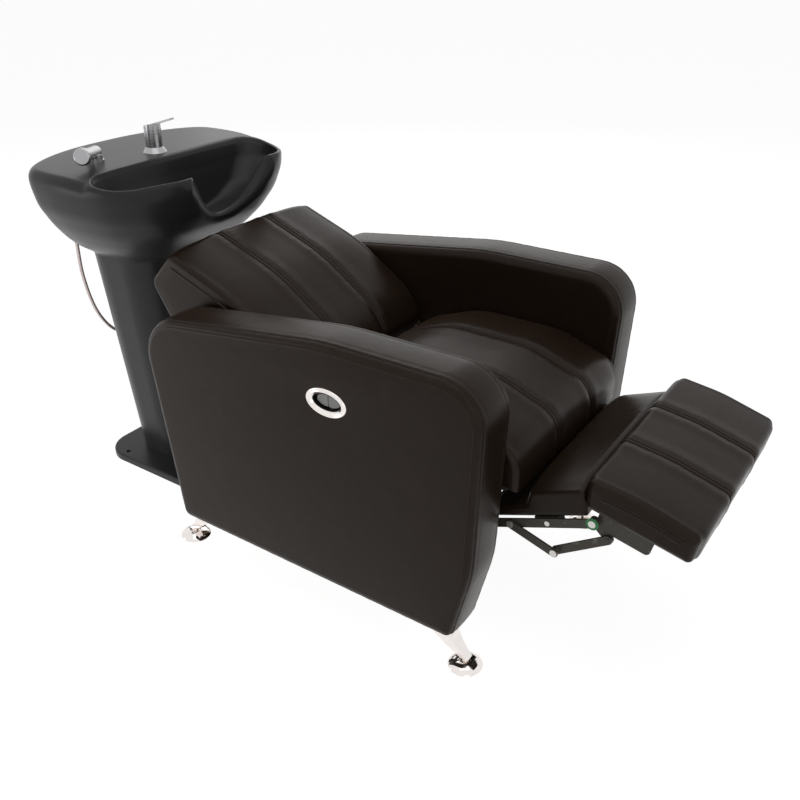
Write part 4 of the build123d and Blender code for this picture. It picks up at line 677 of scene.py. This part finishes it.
def stitches(name, lines, body):
    """Short capsules end to end along lines of (points, normals), sunk a little at both ends.
    Each stitch is a ring of points at five stations, scaled to a rounded capsule."""
    angle = np.linspace(0, 2 * math.pi, STITCH_AROUND, endpoint=False)
    reach = (STITCH_STATIONS * STITCH_LENGTH / 2)[None, :, None, None]
    lift = (STITCH_SINK[:, None] + STITCH_GIRTH[:, None] * np.sin(angle))[None, :, :, None]
    spread = (STITCH_GIRTH[:, None] * np.cos(angle))[None, :, :, None]
    blocks = []
    for points, normals in lines:
        run = np.concatenate([[0], np.cumsum(np.linalg.norm(np.diff(points, axis=0), axis=1))])
        middles = np.arange(STITCH_PITCH, run[-1] - STITCH_PITCH, STITCH_PITCH)
        at = at_run(points, run, middles)
        ahead = at_run(points, run, middles + STITCH_AHEAD)
        up = at_run(normals, run, middles)
        along = (ahead - at) / np.linalg.norm(ahead - at, axis=1, keepdims=True)
        up /= np.linalg.norm(up, axis=1, keepdims=True)
        side = np.cross(along, up)
        at, along, up, side = (line[:, None, None] for line in (at, along, up, side))
        blocks.append(at + along * reach + up * lift * STITCH_RADIUS + side * spread * STITCH_RADIUS)
    rings = np.concatenate(blocks)
    count, rows, around = rings.shape[:3]
    quads = grid_faces(rows, around)
    ends = [np.arange(around)[::-1], np.arange(around) + (rows - 1) * around]
    faces = []
    for index in range(count):
        start = index * rows * around
        faces += list(quads + start) + [end + start for end in ends]
    return add_piece(name, rings, faces, THREAD, body)


# Arms
def share_outline(shares, start, lengths, count, inset=0.0):
    """Rounded outline from rows of shares of the length, of the height, and of the height as radius."""
    corners = [(start[0] + row[0] * lengths[0], start[1] + row[1] * lengths[1]) for row in shares]
    return rounded(corners, [row[2] * lengths[1] for row in shares], count, inset)


def arm_line(inset):
    """The arm's side outline drawn in by inset, with its inward normals."""
    start = (ARM_FRONT_Y, ARM_BASE_Z)
    return share_outline(ARM_SHARES, start, (ARM_LENGTH, ARM_HEIGHT), ARM_COUNT, inset)


ARM_LINE, ARM_NORMAL = arm_line(0.0)
ARM_RUN = np.arange(ARM_COUNT) * np.linalg.norm(ARM_LINE[1] - ARM_LINE[0])


def arm_ring(inset, x, relief=0.0):
    """The arm's outline drawn in by inset and by a small relief that varies round it, at x."""
    line, normal = arm_line(inset)
    return side_points(line + normal * np.reshape(relief, (-1, 1)), np.broadcast_to(x, ARM_COUNT))


def arm_band(side):
    """Loop of upholstery round the arm: a cross profile with soft edges carried round the outline.
    The top is crowned by a parabola, and each edge dips into its seam along a quarter ellipse."""
    name = "right" if side < 0 else "left"
    low = ARM_INNER_X + PANEL_DEPTH
    high = ARM_OUTER_X - PANEL_DEPTH
    edge_steps = BAND_ROUND * (1 - np.cos(np.linspace(0, math.pi / 2, BAND_EDGE_STEPS)))
    across = np.concatenate([
        low + edge_steps,
        np.linspace(low + BAND_FLAT, high - BAND_FLAT, BAND_FLAT_STEPS),
        (high - edge_steps)[::-1],
    ])
    edge = np.minimum(across - low, high - across)
    arc = BAND_ROUND * (1 - np.sqrt(np.clip(1 - (1 - edge / BAND_ROUND) ** 2, 0, 1)))
    fall = np.where(edge < BAND_ROUND, arc * BAND_FALL_SHARE, 0)
    middle = (across - (low + high) / 2) / ((high - low) / 2)
    crowned = -BAND_CROWN * (1 - middle ** 2)
    topstitch = groove(edge, *BAND_TOPSTITCH)
    rings = []
    for x, drop, seam, nearness in zip(across, fall + crowned, topstitch, edge):
        rings.append(arm_ring(drop + seam, side * x, puckers(ARM_RUN, nearness, *BAND_PUCKER)))
    rings.append(arm_ring(BAND_DEPTH, side * high))
    rings.append(arm_ring(BAND_DEPTH, side * low))
    rows = np.array(rings)
    faces = grid_faces(rows.shape[0], ARM_COUNT, wrap_rows=True)
    if side < 0:
        faces = faces[:, ::-1]
    piece = add_piece(f"{name}_band", rows, list(faces), FINISH["upholstery"], "root",
                      (f"{name}_arm_band",))
    return rows[: len(across)]


def arm_panel(side, outer):
    """Padded side panel: a quarter ellipse shoulder from the seam, then a face that swells by a low dome.
    The handle's recess goes through the right outer one."""
    name = "right" if side < 0 else "left"
    where = "outer" if outer else "inner"
    seam_x = ARM_OUTER_X - PANEL_DEPTH if outer else ARM_INNER_X + PANEL_DEPTH
    reach = 1 if outer else -1
    turn = np.linspace(0, math.pi / 2, SHOULDER_STEPS)
    inset = SEAM_DIP + SHOULDER * (1 - np.cos(turn))
    out = PANEL_DEPTH * np.sin(turn)
    rings = [arm_ring(SEAM_DIP + PANEL_EDGE_TUCK, side * seam_x)]
    for depth, x in zip(inset, out):
        sewn = groove(depth, *PANEL_TOPSTITCH) if outer else 0.0
        pucker = puckers(ARM_RUN, depth, *PANEL_PUCKER)
        rings.append(arm_ring(depth + sewn, side * (seam_x + reach * (x - sewn)), pucker))
    edge = arm_line(inset[-1])[0]
    recess = outer and side < 0
    away = edge - HANDLE_PLACE
    bearing = np.arctan2(away[:, 1] / HANDLE_POCKET[1], away[:, 0] / HANDLE_POCKET[0])
    oval = HANDLE_PLACE + np.stack([np.cos(bearing), np.sin(bearing)], -1) * HANDLE_POCKET
    centre = oval if recess else HANDLE_PLACE + (oval - HANDLE_PLACE) * PANEL_MIDDLE_SHARE
    swell = OUTER_SWELL if outer else INNER_SWELL
    face_x = seam_x + reach * PANEL_DEPTH
    for share in np.linspace(PANEL_FACE_START, 0.0, PANEL_FACE_RINGS):
        dome = swell * math.sin(math.pi * share) ** 0.7 if recess else swell * (1 - share ** 3)
        line = centre + (edge - centre) * share
        rings.append(side_points(line, np.full(ARM_COUNT, side * (face_x + reach * dome))))
    if recess:
        for depth in RECESS_DEPTHS:
            rings.append(side_points(oval, np.full(ARM_COUNT, side * (face_x - depth))))
        points = rows = np.array(rings)
        faces = list(grid_faces(rows.shape[0], ARM_COUNT, wrap_rows=True))
    else:
        rows = np.array(rings)
        points, faces = closed_tube(rows, flip=(side > 0) == outer)
    piece = add_piece(f"{name}_{where}_panel", points, faces, FINISH["upholstery"], "root",
                      (f"{name}_arm_{where}_panel",))
    return rows[1 : len(turn) + 1]


def arms():
    """Both arms, with stitches beside the seams above the bottom edge."""
    order = one_run(ARM_LINE[:, 1] > ARM_BASE_Z + ARM_STITCH_START)
    outward = side_points(-ARM_NORMAL, np.full(ARM_COUNT, 0.0))[order]
    for side in (-1, 1):
        band = arm_band(side)
        panel = arm_panel(side, True)
        arm_panel(side, False)
        flat_ends = (BAND_EDGE_STEPS, len(band) - BAND_EDGE_STEPS - 1)
        lines = [(band[index][order], outward) for index in flat_ends]
        leaning = outward * PANEL_STITCH_LEAN[0] + np.array([side * PANEL_STITCH_LEAN[1], 0, 0])
        lines.append((panel[PANEL_STITCH_STEP][order], leaning))
        stitches(("right" if side < 0 else "left") + "_arm_stitches", lines, "root")


def handle_bezel():
    """Oval plated ring with two ridges and a dished slope into the mouth."""
    angle = np.linspace(0, 2 * math.pi, HANDLE_COUNT, endpoint=False)
    circle = np.stack([np.cos(angle), np.sin(angle)], -1)
    rings = []
    for share, rise in HANDLE_SECTION:
        line = HANDLE_PLACE + circle * (HANDLE_OUTER + (HANDLE_MOUTH - HANDLE_OUTER) * share)
        rings.append(side_points(line, -(ARM_OUTER_X + rise)))
    rows = np.array(rings)
    faces = grid_faces(rows.shape[0], HANDLE_COUNT, wrap_rows=True)
    add_piece("handle_ring", rows, list(faces), FINISH["chrome"], "root", ("handle_bezel",))


arms()
handle_bezel()


# Cushions
def seam_relief(x, depth):
    """Inset across a cushion at x: two sewn grooves at each seam, a welt between them and a soft swell."""
    gap = np.abs(np.abs(x) - SEAM_X)
    welt = WELT_SINK - WELT_RISE * bell(gap, WELT_WIDTH)
    return groove(gap, STITCH_GAP, depth, SEAM_GROOVE_WIDTH) + welt - groove(gap, *SEAM_SWELL)


def across_stations(half_width, edge):
    """Stations across a cushion, close together at its seams."""
    flat = half_width - edge
    near = np.linspace(-SEAM_REACH, SEAM_REACH, SEAM_STATIONS)
    seams = np.concatenate([SEAM_X + near, -SEAM_X - near])
    plain = np.linspace(-flat, flat, PLAIN_STATIONS)
    plain = plain[np.abs(np.abs(plain) - SEAM_X) > SEAM_CLEAR]
    return np.sort(np.concatenate([seams, plain]))


class Cushion:
    """A closed padded form: side view outlines at stations across, and two rounded ends.
    shape(x, inset) gives the points and inward normals of the outline at x, drawn in by inset."""

    def __init__(self, name, body, node, half_width, edge, shape, seam_depth=0.0027, side_seams=(),
                 swell=0.004, seam_side=(0.0, 1.0), loops=0.018):
        self.name, self.body, self.node = name, body, node
        self.half_width, self.edge = half_width, edge
        self.shape, self.seam_depth = shape, seam_depth
        self.side_seams, self.swell = side_seams, swell
        self.seam_side, self.loops = np.array(seam_side), loops
        self.stations = across_stations(half_width, edge)
        rows = [self.row(x) for x in self.stations]
        right, left = self.end(-1), self.end(1)
        self.rows = np.array(right[::-1] + rows + left)
        self.first = len(right)

    def row(self, x):
        """One station between the ends, with the seams' relief and small puckers beside them."""
        relief = seam_relief(x, self.seam_depth) if self.seam_depth else 0.0
        line, normal = self.shape(x, 0.0)
        run = np.arange(len(line)) * np.linalg.norm(line[1] - line[0])
        pucker = puckers(run, abs(abs(x) - SEAM_X), 5 + int(x > 0), *CUSHION_PUCKER)
        return side_points(line + normal * (relief + pucker)[:, None], x)

    def end(self, sign):
        """Rings from the last station to the middle of one end: a quarter circle, then a face that
        swells by a low dome, with a groove and a welt at each side seam."""
        half, edge = self.half_width, self.edge
        rings = []
        for turn in np.linspace(0, math.pi / 2, END_TURNS + 1)[1:]:
            line, _ = self.shape(sign * (half - edge), edge * (1 - math.cos(turn)))
            rings.append(side_points(line, sign * (half - edge + edge * math.sin(turn))))
        for inset in np.arange(edge + RING_STEP, edge + self.loops, RING_STEP):
            sewn = sum(groove(inset, seam, *SIDE_GROOVE) for seam in self.side_seams)
            welt = sum(groove(inset - seam, SIDE_WELT_OFFSET, *SIDE_WELT) for seam in self.side_seams)
            line, normal = self.shape(sign * (half - edge), inset)
            upper = np.clip(-2.2 * (normal @ self.seam_side) - 0.9, 0, 1)
            dome = self.swell * (1 - (1 - (inset - edge) / SIDE_SWELL_REACH) ** 2)
            out = dome + (welt - sewn) * upper
            rings.append(side_points(line, sign * (half + out)))
        last = rings[-1]
        middle = last.mean(0)
        for share in np.linspace(0.9, 0.08, CLOSING_RINGS):
            ring = middle + (last - middle) * share
            ring[:, 0] = last[:, 0] + sign * self.swell * 0.4 * (1 - share ** 2)
            rings.append(ring)
        return rings

    def build(self, keep=None, side_keep=None):
        """The piece, with stitches along its seams where keep holds and along its side seams where
        side_keep does."""
        points, faces = closed_tube(self.rows)
        skin = FINISH["upholstery"]
        piece = add_piece(self.name, points, faces, skin, self.body, (self.node,))
        lines = []
        if keep is not None:
            for seam in (-SEAM_X, SEAM_X):
                for step in (-STITCH_GAP, STITCH_GAP):
                    index = self.first + int(np.argmin(np.abs(self.stations - seam - step)))
                    lines.append(self.stitch_line(index, keep))
        if side_keep is not None:
            for seam in self.side_seams:
                step = END_TURNS + int(round((seam + SIDE_WELT_OFFSET - self.edge) / RING_STEP))
                for index in (self.first - 1 - step, self.first + len(self.stations) + step):
                    lines.append(self.stitch_line(index, side_keep))
        if lines:
            stitches(self.name + "_stitches", lines, self.body)
        return piece

    def stitch_line(self, index, keep):
        """The line of one ring where keep holds, in one run, with normals that point out of the cushion."""
        line = self.rows[index]
        beside = self.rows[index + 1] - self.rows[index - 1]
        normal = np.cross(np.roll(line, -1, 0) - np.roll(line, 1, 0), beside)
        normal /= np.linalg.norm(normal, axis=1, keepdims=True)
        outward = line - self.rows[self.first : self.first + len(self.stations)].mean((0, 1))
        normal *= np.sign(np.median((normal * outward).sum(1)))
        order = one_run(keep(line))
        return line[order], normal[order]


def crown(share):
    """How far a cushion has fallen at a share of its half width: a broad square and a late steep power."""
    broad, steep = CROWN_POWERS
    return CROWN_SHARES[0] * share ** broad + CROWN_SHARES[1] * share ** steep


def pillow_shape(half_width, shares, start, size, pull_in, side_drop):
    """Side outline at x of a cushion that gets shorter and lower by its crown towards its ends."""
    def shape(x, inset):
        fallen = float(crown(min(1.0, abs(x) / half_width)))
        pull = pull_in * fallen
        lengths = (size[0] - 2 * pull, size[1] - side_drop * fallen)
        return share_outline(shares, (start[0] + pull, start[1]), lengths, LINE_COUNT, inset)
    return shape


def foot_shape(half_width):
    """Side outline at x of the tilted footrest, trimmed along a quarter circle at its corners."""
    def shape(x, inset):
        share = min(1.0, abs(x) / half_width)
        short = max(0.0, FOOT_CORNER - (1 - share) * half_width)
        trim = FOOT_CORNER - math.sqrt(FOOT_CORNER ** 2 - short ** 2 * FOOT_CORNER_FULLNESS)
        drop = FOOT_SIDE_DROP * float(crown(share))
        corners = []
        for along, up, _ in FOOT_SHARES:
            a = trim + along * (FOOT_LENGTH - 2 * trim)
            u = up * FOOT_THICKNESS - (drop if up >= 0 else 0)
            y = FOOT_BACK_TOP[0] - a * math.cos(FOOT_TILT) - u * math.sin(FOOT_TILT)
            z = FOOT_BACK_TOP[1] - a * math.sin(FOOT_TILT) + u * math.cos(FOOT_TILT)
            corners.append((y, z))
        return rounded(corners, [row[2] * FOOT_THICKNESS for row in FOOT_SHARES], LINE_COUNT, inset)
    return shape


def bridge_shape(half_width):
    """Side outline at x of the bridge pad, along the long bars, lower by its crown towards its ends."""
    def shape(x, inset):
        height = BRIDGE_THICKNESS - BRIDGE_SIDE_DROP * float(crown(min(1.0, abs(x) / half_width)))
        corners = []
        for along, up, _ in BRIDGE_SHARES:
            run = BRIDGE_START + along * BRIDGE_LENGTH
            square = BRIDGE_BASE + up * height
            corners.append(BRIDGE_PIN + BRIDGE_ALONG * run + BRIDGE_SQUARE * square)
        return rounded(corners, [row[2] * height for row in BRIDGE_SHARES], LINE_COUNT, inset)
    return shape


def seat_top(line):
    """The seat's part above its boxed underside."""
    return line[:, 2] > 0.425


def back_front(line):
    """The back's front and top, above a slanted plane through its foot."""
    return (line[:, 2] > 0.50) & (line[:, 2] > 0.47 + 0.52 * line[:, 1])


def foot_top(line):
    """The footrest's part above a plane along its tilt."""
    return line[:, 2] > 0.460 + (line[:, 1] + 0.632) * 0.216


def cushions():
    """The seat, the back, the footrest and the bridge between them."""
    shape = pillow_shape(SEAT_HALF_WIDTH, SEAT_SHARES, SEAT_START, SEAT_SIZE, SEAT_PULL, SEAT_SIDE_DROP)
    seat = Cushion("seat", "root", "seat_cushion", SEAT_HALF_WIDTH, 0.014, shape)
    seat.build(seat_top)
    shape = pillow_shape(BACK_HALF_WIDTH, BACK_SHARES, BACK_START, BACK_SIZE, BACK_PULL, BACK_SIDE_DROP)
    back = Cushion("back_rest", "back", "back_cushion", BACK_HALF_WIDTH, 0.014, shape,
                   side_seams=(0.024,), seam_side=(-0.56, 0.83))
    back.build(back_front, back_front)
    foot = Cushion("foot_pad", "footrest", "footrest_pad", FOOT_HALF_WIDTH, 0.016,
                   foot_shape(FOOT_HALF_WIDTH), side_seams=(0.0185, 0.0245), swell=0.0, loops=0.0135)
    foot.build(foot_top, foot_top)
    bridge = Cushion("bridge", "long_bars", "bridge_pad", BRIDGE_HALF_WIDTH, 0.009,
                     bridge_shape(BRIDGE_HALF_WIDTH), seam_depth=0, swell=0.0, loops=0.0)
    bridge.build()


cushions()


# Basin
def arc_points(start, middle, end, count=60):
    """Points on the circle through three points, from start to end."""
    ax, ay = start
    bx, by = middle
    cx, cy = end
    d = 2 * (ax * (by - cy) + bx * (cy - ay) + cx * (ay - by))
    a, b, c = ax ** 2 + ay ** 2, bx ** 2 + by ** 2, cx ** 2 + cy ** 2
    ux = (a * (by - cy) + b * (cy - ay) + c * (ay - by)) / d
    uy = (a * (cx - bx) + b * (ax - cx) + c * (bx - ax)) / d
    radius = math.hypot(ax - ux, ay - uy)
    first = math.atan2(ay - uy, ax - ux)
    turn = (math.atan2(cy - uy, cx - ux) - first + math.pi) % (2 * math.pi) - math.pi
    angle = first + np.linspace(0, turn, count)
    return np.stack([ux + radius * np.cos(angle), uy + radius * np.sin(angle)], -1)


def rim_outline():
    """Outline of the basin's rim as shares: the right half's arcs, the short front line, the left half."""
    half = np.concatenate([arc_points(*row) for row in RIM_ARC_SHARES])
    other = half[::-1] * np.array([-1, 1])
    line = even(np.concatenate([half, other]), BASIN_COUNT)[0]
    weights = np.hanning(RIM_SMOOTHING + 2)[1:-1]
    reach = RIM_SMOOTHING // 2
    wrapped = np.concatenate([line[-reach:], line, line[:reach]])
    weights /= weights.sum()
    return np.stack([np.convolve(wrapped[:, axis], weights, "valid") for axis in range(2)], -1)


RIM = rim_outline()


def hull_ring(z):
    """Hull outline at heights z, one for each point round the rim: interpolated shares of the rim."""
    share = (z - COLUMN_TOP_Z) / (DECK_Z - COLUMN_TOP_Z)
    table = np.array(HULL_SHARES)
    fine = np.linspace(0, 1, HULL_STEPS)
    weights = np.ones(HULL_SMOOTHING) / HULL_SMOOTHING
    columns = []
    for shares in table.T[1:]:
        padded = np.pad(np.interp(fine, table[:, 0], shares), HULL_SMOOTHING // 2, "edge")
        columns.append(np.interp(share, fine, np.convolve(padded, weights, "valid")))
    width, front, back = columns
    x = RIM[:, 0] * RIM_HALF_WIDTH * width
    y = COLUMN_Y + RIM[:, 1] * np.where(RIM[:, 1] > 0, RIM_BACK_REACH * back, RIM_FRONT_REACH * front)
    return np.stack([x, y], -1)


def bowl_ring(depth_share, bearing):
    """Bowl outline at a share of its depth, at given bearings from the bowl's middle.
    Each level is a rounded rectangle, found by how far out it lies at the bearing."""
    table = np.array(BOWL_SHARES)
    width, front, back, corner = [np.interp(depth_share, table[:, 0], table[:, k]) for k in (1, 2, 3, 4)]
    length = BOWL_BACK_Y - BOWL_FRONT_Y
    low = BOWL_FRONT_Y + front * length
    high = BOWL_BACK_Y - back * length
    half = BOWL_HALF_WIDTH * width
    radius = (high - low) / 2 * corner
    corners = [(-half, low), (half, low), (half, high), (-half, high)]
    line, _ = rounded(corners, [radius] * 4, BOWL_POINTS)
    away = line - BOWL_MIDDLE
    angle = np.arctan2(away[:, 1], away[:, 0])
    order = np.argsort(angle)
    distance = np.hypot(away[:, 0], away[:, 1])
    reach = np.interp(bearing, angle[order], distance[order], period=2 * math.pi)
    return BOWL_MIDDLE + np.stack([np.cos(bearing), np.sin(bearing)], -1) * reach[:, None]


def rim_height(outline):
    """Height of the rim: level, with a low saddle at the sides and the neck notch at the front."""
    x, y = outline.T
    sides = np.clip((np.abs(x) - SADDLE_START) / SADDLE_FADE, 0, 1)
    saddle = SADDLE_DIP * bell(y - SADDLE_Y, SADDLE_REACH) * sides
    front = np.clip((COLUMN_Y - NOTCH_BACK - y) / NOTCH_FADE, 0, 1)
    inside = np.clip(1 - (np.abs(x) / NOTCH_HALF_WIDTH) ** NOTCH_POWERS[0], 0, 1)
    return DECK_Z - saddle - NOTCH_DEPTH * inside ** NOTCH_POWERS[1] * front


def nearer(first, second, blend):
    """The smaller of two lengths, with a round join of the blend's size where they are alike."""
    overlap = np.clip(0.5 + 0.5 * (second - first) / blend, 0, 1)
    return second + (first - second) * overlap - blend * overlap * (1 - overlap)


def bowl_line(depth, bearing, outer_reach):
    """Bowl outline at depth shares and bearings, kept a lip's width inside the hull."""
    edge = [bowl_ring(share, bearing[index : index + 1])[0] for index, share in enumerate(depth)]
    reach = np.array([np.linalg.norm(point - BOWL_MIDDLE) for point in edge])
    reach = nearer(reach, outer_reach - RIM_LIP, RIM_BLEND)
    return BOWL_MIDDLE + np.stack([np.cos(bearing), np.sin(bearing)], -1) * reach[:, None]


def basin():
    """One closed surface from the column up the hull, over the rim and deck, and down the bowl to the drain.
    The rim's outer shoulder is a quarter ellipse, and between it and the bowl's edge the deck is straight."""
    height = rim_height(hull_ring(np.full(BASIN_COUNT, DECK_Z)))
    outer = hull_ring(height)
    away = outer - BOWL_MIDDLE
    bearing = np.arctan2(away[:, 1], away[:, 0])
    floor_z = DECK_Z - BOWL_DEPTH
    sink = np.clip((DECK_Z - height) / BOWL_DEPTH, 0, DEEPEST_SINK)
    inner = bowl_line(sink, bearing, np.linalg.norm(away, axis=1))
    width = np.linalg.norm(outer - inner, axis=1)
    toward = (inner - outer) / width[:, None]
    soft = np.clip((inner[:, 0] - SOFT_START) / SOFT_REACH, 0, 1) * (inner[:, 1] > BOWL_MIDDLE[1])
    round_in = np.minimum(RIM_ROUND + SOFT_ROUND * soft, width * ROUND_SHARE)
    sag = np.minimum(round_in, EDGE_SAG)
    round_out = np.minimum(RIM_SHOULDER[0], width - ROUND_ROOM * round_in)
    drop = np.minimum(RIM_SHOULDER[1], round_out * SHOULDER_SLOPE)
    rings = []
    for share in np.linspace(1, 0, HULL_RINGS):
        z = (height - drop) * (1 - share) + COLUMN_TOP_Z * share
        rings.append(np.column_stack([hull_ring(z), z]))
    below = rings[-1][:, :2]
    for turn in np.linspace(0, math.pi / 2, TURN_RINGS)[1:]:
        line = below + (outer - below) * math.sin(turn) + toward * (round_out * (1 - math.cos(turn)))[:, None]
        rings.append(np.column_stack([line, height - drop * (1 - math.sin(turn))]))
    for share in np.linspace(0, 1, TURN_RINGS)[1:-1]:
        start = outer + toward * round_out[:, None]
        end = inner - toward * round_in[:, None]
        rings.append(np.column_stack([start + (end - start) * share, height]))
    for turn in np.linspace(math.pi / 2, 0, EDGE_RINGS):
        line = inner - toward * (round_in * (1 - math.cos(turn)))[:, None]
        rings.append(np.column_stack([line, height - sag * (1 - math.sin(turn))]))
    front_share, back_share = BOWL_SHARES[-1][2:4]
    drain = np.array([0.0, BOWL_FRONT_Y + (BOWL_BACK_Y - BOWL_FRONT_Y) * (1 + front_share - back_share) / 2])
    first = sink + FIRST_BOWL_STEP
    for step in np.linspace(0, 1, BOWL_RINGS):
        depth = first + (1 - first) * step
        z = DECK_Z - depth * BOWL_DEPTH
        reach = np.linalg.norm(hull_ring(z) - BOWL_MIDDLE, axis=1)
        rings.append(np.column_stack([bowl_line(np.clip(depth, 0, 1), bearing, reach), z]))
    edge = rings[-1][:, :2] - drain
    reach = np.linalg.norm(edge, axis=1, keepdims=True)
    for share in np.linspace(FLOOR_START, 0, FLOOR_RINGS):
        line = drain + edge / reach * (DRAIN_RADIUS + (reach - DRAIN_RADIUS) * share)
        rings.append(np.column_stack([line, np.full(BASIN_COUNT, floor_z)]))
    hole = drain + edge / reach * DRAIN_RADIUS
    rings.append(np.column_stack([hole, np.full(BASIN_COUNT, floor_z - DRAIN_DEPTH)]))
    points, faces = closed_tube(np.array(rings))
    add_piece("wash_basin", points, faces, FINISH["basin_glaze"], "root", ("basin",))


basin()


# Spray hose
def spray_hose():
    """The hanging hose: a smooth curve through the chosen points, with a round section."""
    curve = bpy.data.curves.new("spray_hose", "CURVE")
    curve.dimensions = "3D"
    curve.bevel_depth = HOSE_DIAMETER / 2
    curve.bevel_resolution = 5
    curve.resolution_u = 12
    curve.use_fill_caps = True
    spline = curve.splines.new("NURBS")
    spline.points.add(len(HOSE_POINTS) - 1)
    for point, place in zip(spline.points, HOSE_POINTS):
        point.co = (*place, 1.0)
    spline.order_u = 3
    spline.use_endpoint_u = True
    curve.materials.append(FINISH["hose_skin"])
    hose = bpy.data.objects.new("spray_hose_line", curve)
    bpy.context.scene.collection.objects.link(hose)
    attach(hose, "root")
    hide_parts("spray_hose")


spray_hose()


# Finishes of the pieces that stay as they are
def dress_nodes():
    """Each carried node gets the finish of its slot, and the tap and sprayer their own duller metal."""
    slots = {row["node"]: row["material_slot"] for row in frame["record"]["subparts"]}
    for node, piece in frame["nodes"].items():
        piece.data.materials.clear()
        piece.data.materials.append(TAP_METAL if node in TAP_NODES else FINISH[slots[node]])


dress_nodes()


# Stage, camera and light
FLOOR_GLOW = 0.93
FLOOR_HALF = 40.0
VIEW_END = 60
BACKGROUND_RAYS = ("Is Camera Ray", "Is Glossy Ray", "Is Transmission Ray")
ROOM_COLOUR = (0.045, 0.045, 0.045)
# Name, place, target, size, power
LAMPS = [
    ("overhead", (-0.4, -0.2, 3.2), (0, 0.1, 0.4), (2.4, 2.4), 10),
    ("far_side", (3.2, 2.1, 2.1), (0, 0, 0.5), (2.6, 1.6), 9),
    ("near_side", (-2.6, -2.4, 1.5), (0, 0, 0.4), (1.6, 1.6), 7),
    ("low_rear", (-1.5, 1.5, 0.5), (-0.35, 0.3, 0.3), (0.8, 0.5), 3),
]


def stage_surface(name, corners):
    """A flat piece of the stage, which is no part of the object."""
    mesh = bpy.data.meshes.new(name)
    mesh.from_pydata(corners, [], [(0, 1, 2, 3)])
    stage = bpy.data.objects.new(name, mesh)
    bpy.context.scene.collection.objects.link(stage)
    return stage


def floor():
    """Pale floor, nearly white to the camera and in metal and gloss alike. It keeps the object's shadow."""
    corners = [(x * FLOOR_HALF, y * FLOOR_HALF, 0) for x, y in ((-1, -1), (1, -1), (1, 1), (-1, 1))]
    made = stage_surface("studio_floor", corners)
    shade = Shade("Studio floor", Roughness=0.9, Specular_IOR_Level=0.0, Base_Color=(0.80, 0.80, 0.80))
    rays = [shade.node("ShaderNodeLightPath", out=kind) for kind in BACKGROUND_RAYS]
    seen = rays[0].math("MAXIMUM", rays[1]).math("MAXIMUM", rays[2])
    shade.set("Emission Color", shade.mix(seen, (0.0, 0.0, 0.0), (1.0, 1.0, 1.0)))
    shade.set("Emission Strength", FLOOR_GLOW)
    made.data.materials.append(shade.material)


def camera():
    """The photograph's camera."""
    lens = bpy.data.cameras.new("photo_camera")
    lens.lens = CAMERA_LENS
    lens.sensor_width = CAMERA_SENSOR
    lens.clip_end = VIEW_END
    eye = bpy.data.objects.new("photo_camera", lens)
    eye.location = CAMERA_PLACE
    eye.rotation_euler = (math.pi / 2 - CAMERA_ELEVATION, 0, CAMERA_AZIMUTH)
    bpy.context.scene.collection.objects.link(eye)
    bpy.context.scene.camera = eye


def lamp(name, place, target, size, power):
    """A soft rectangular lamp that looks from its place at its target."""
    light = bpy.data.lights.new(name, "AREA")
    light.shape = "RECTANGLE"
    light.size, light.size_y = size
    light.energy = power
    holder = bpy.data.objects.new(name, light)
    holder.location = place
    away = np.array(target, float) - np.array(place, float)
    holder.rotation_euler = (
        math.atan2(math.hypot(away[0], away[1]), -away[2]),
        0,
        math.atan2(away[1], away[0]) - math.pi / 2,
    )
    bpy.context.scene.collection.objects.link(holder)


def lights():
    """A room that the background rays see as white and that lights the object faintly, and the lamps."""
    world = bpy.data.worlds.new("studio")
    world.use_nodes = True
    tree = world.node_tree
    seen = tree.nodes.new("ShaderNodeLightPath")
    mixed = tree.nodes.new("ShaderNodeMix")
    mixed.data_type = "RGBA"
    mixed.inputs[MIX_FIRST].default_value = (*ROOM_COLOUR, 1)
    mixed.inputs[MIX_SECOND].default_value = (1, 1, 1, 1)
    shown = seen.outputs[BACKGROUND_RAYS[0]]
    for kind in BACKGROUND_RAYS[1:]:
        either = tree.nodes.new("ShaderNodeMath")
        either.operation = "MAXIMUM"
        tree.links.new(shown, either.inputs[0])
        tree.links.new(seen.outputs[kind], either.inputs[1])
        shown = either.outputs[0]
    tree.links.new(shown, mixed.inputs[MIX_FACTOR])
    tree.links.new(mixed.outputs[MIX_RESULT], tree.nodes["Background"].inputs["Color"])
    tree.nodes["Background"].inputs["Strength"].default_value = 1.0
    bpy.context.scene.world = world
    for row in LAMPS:
        lamp(*row)


floor()
camera()
lights()
bpy.context.scene.view_settings.view_transform = "Standard"
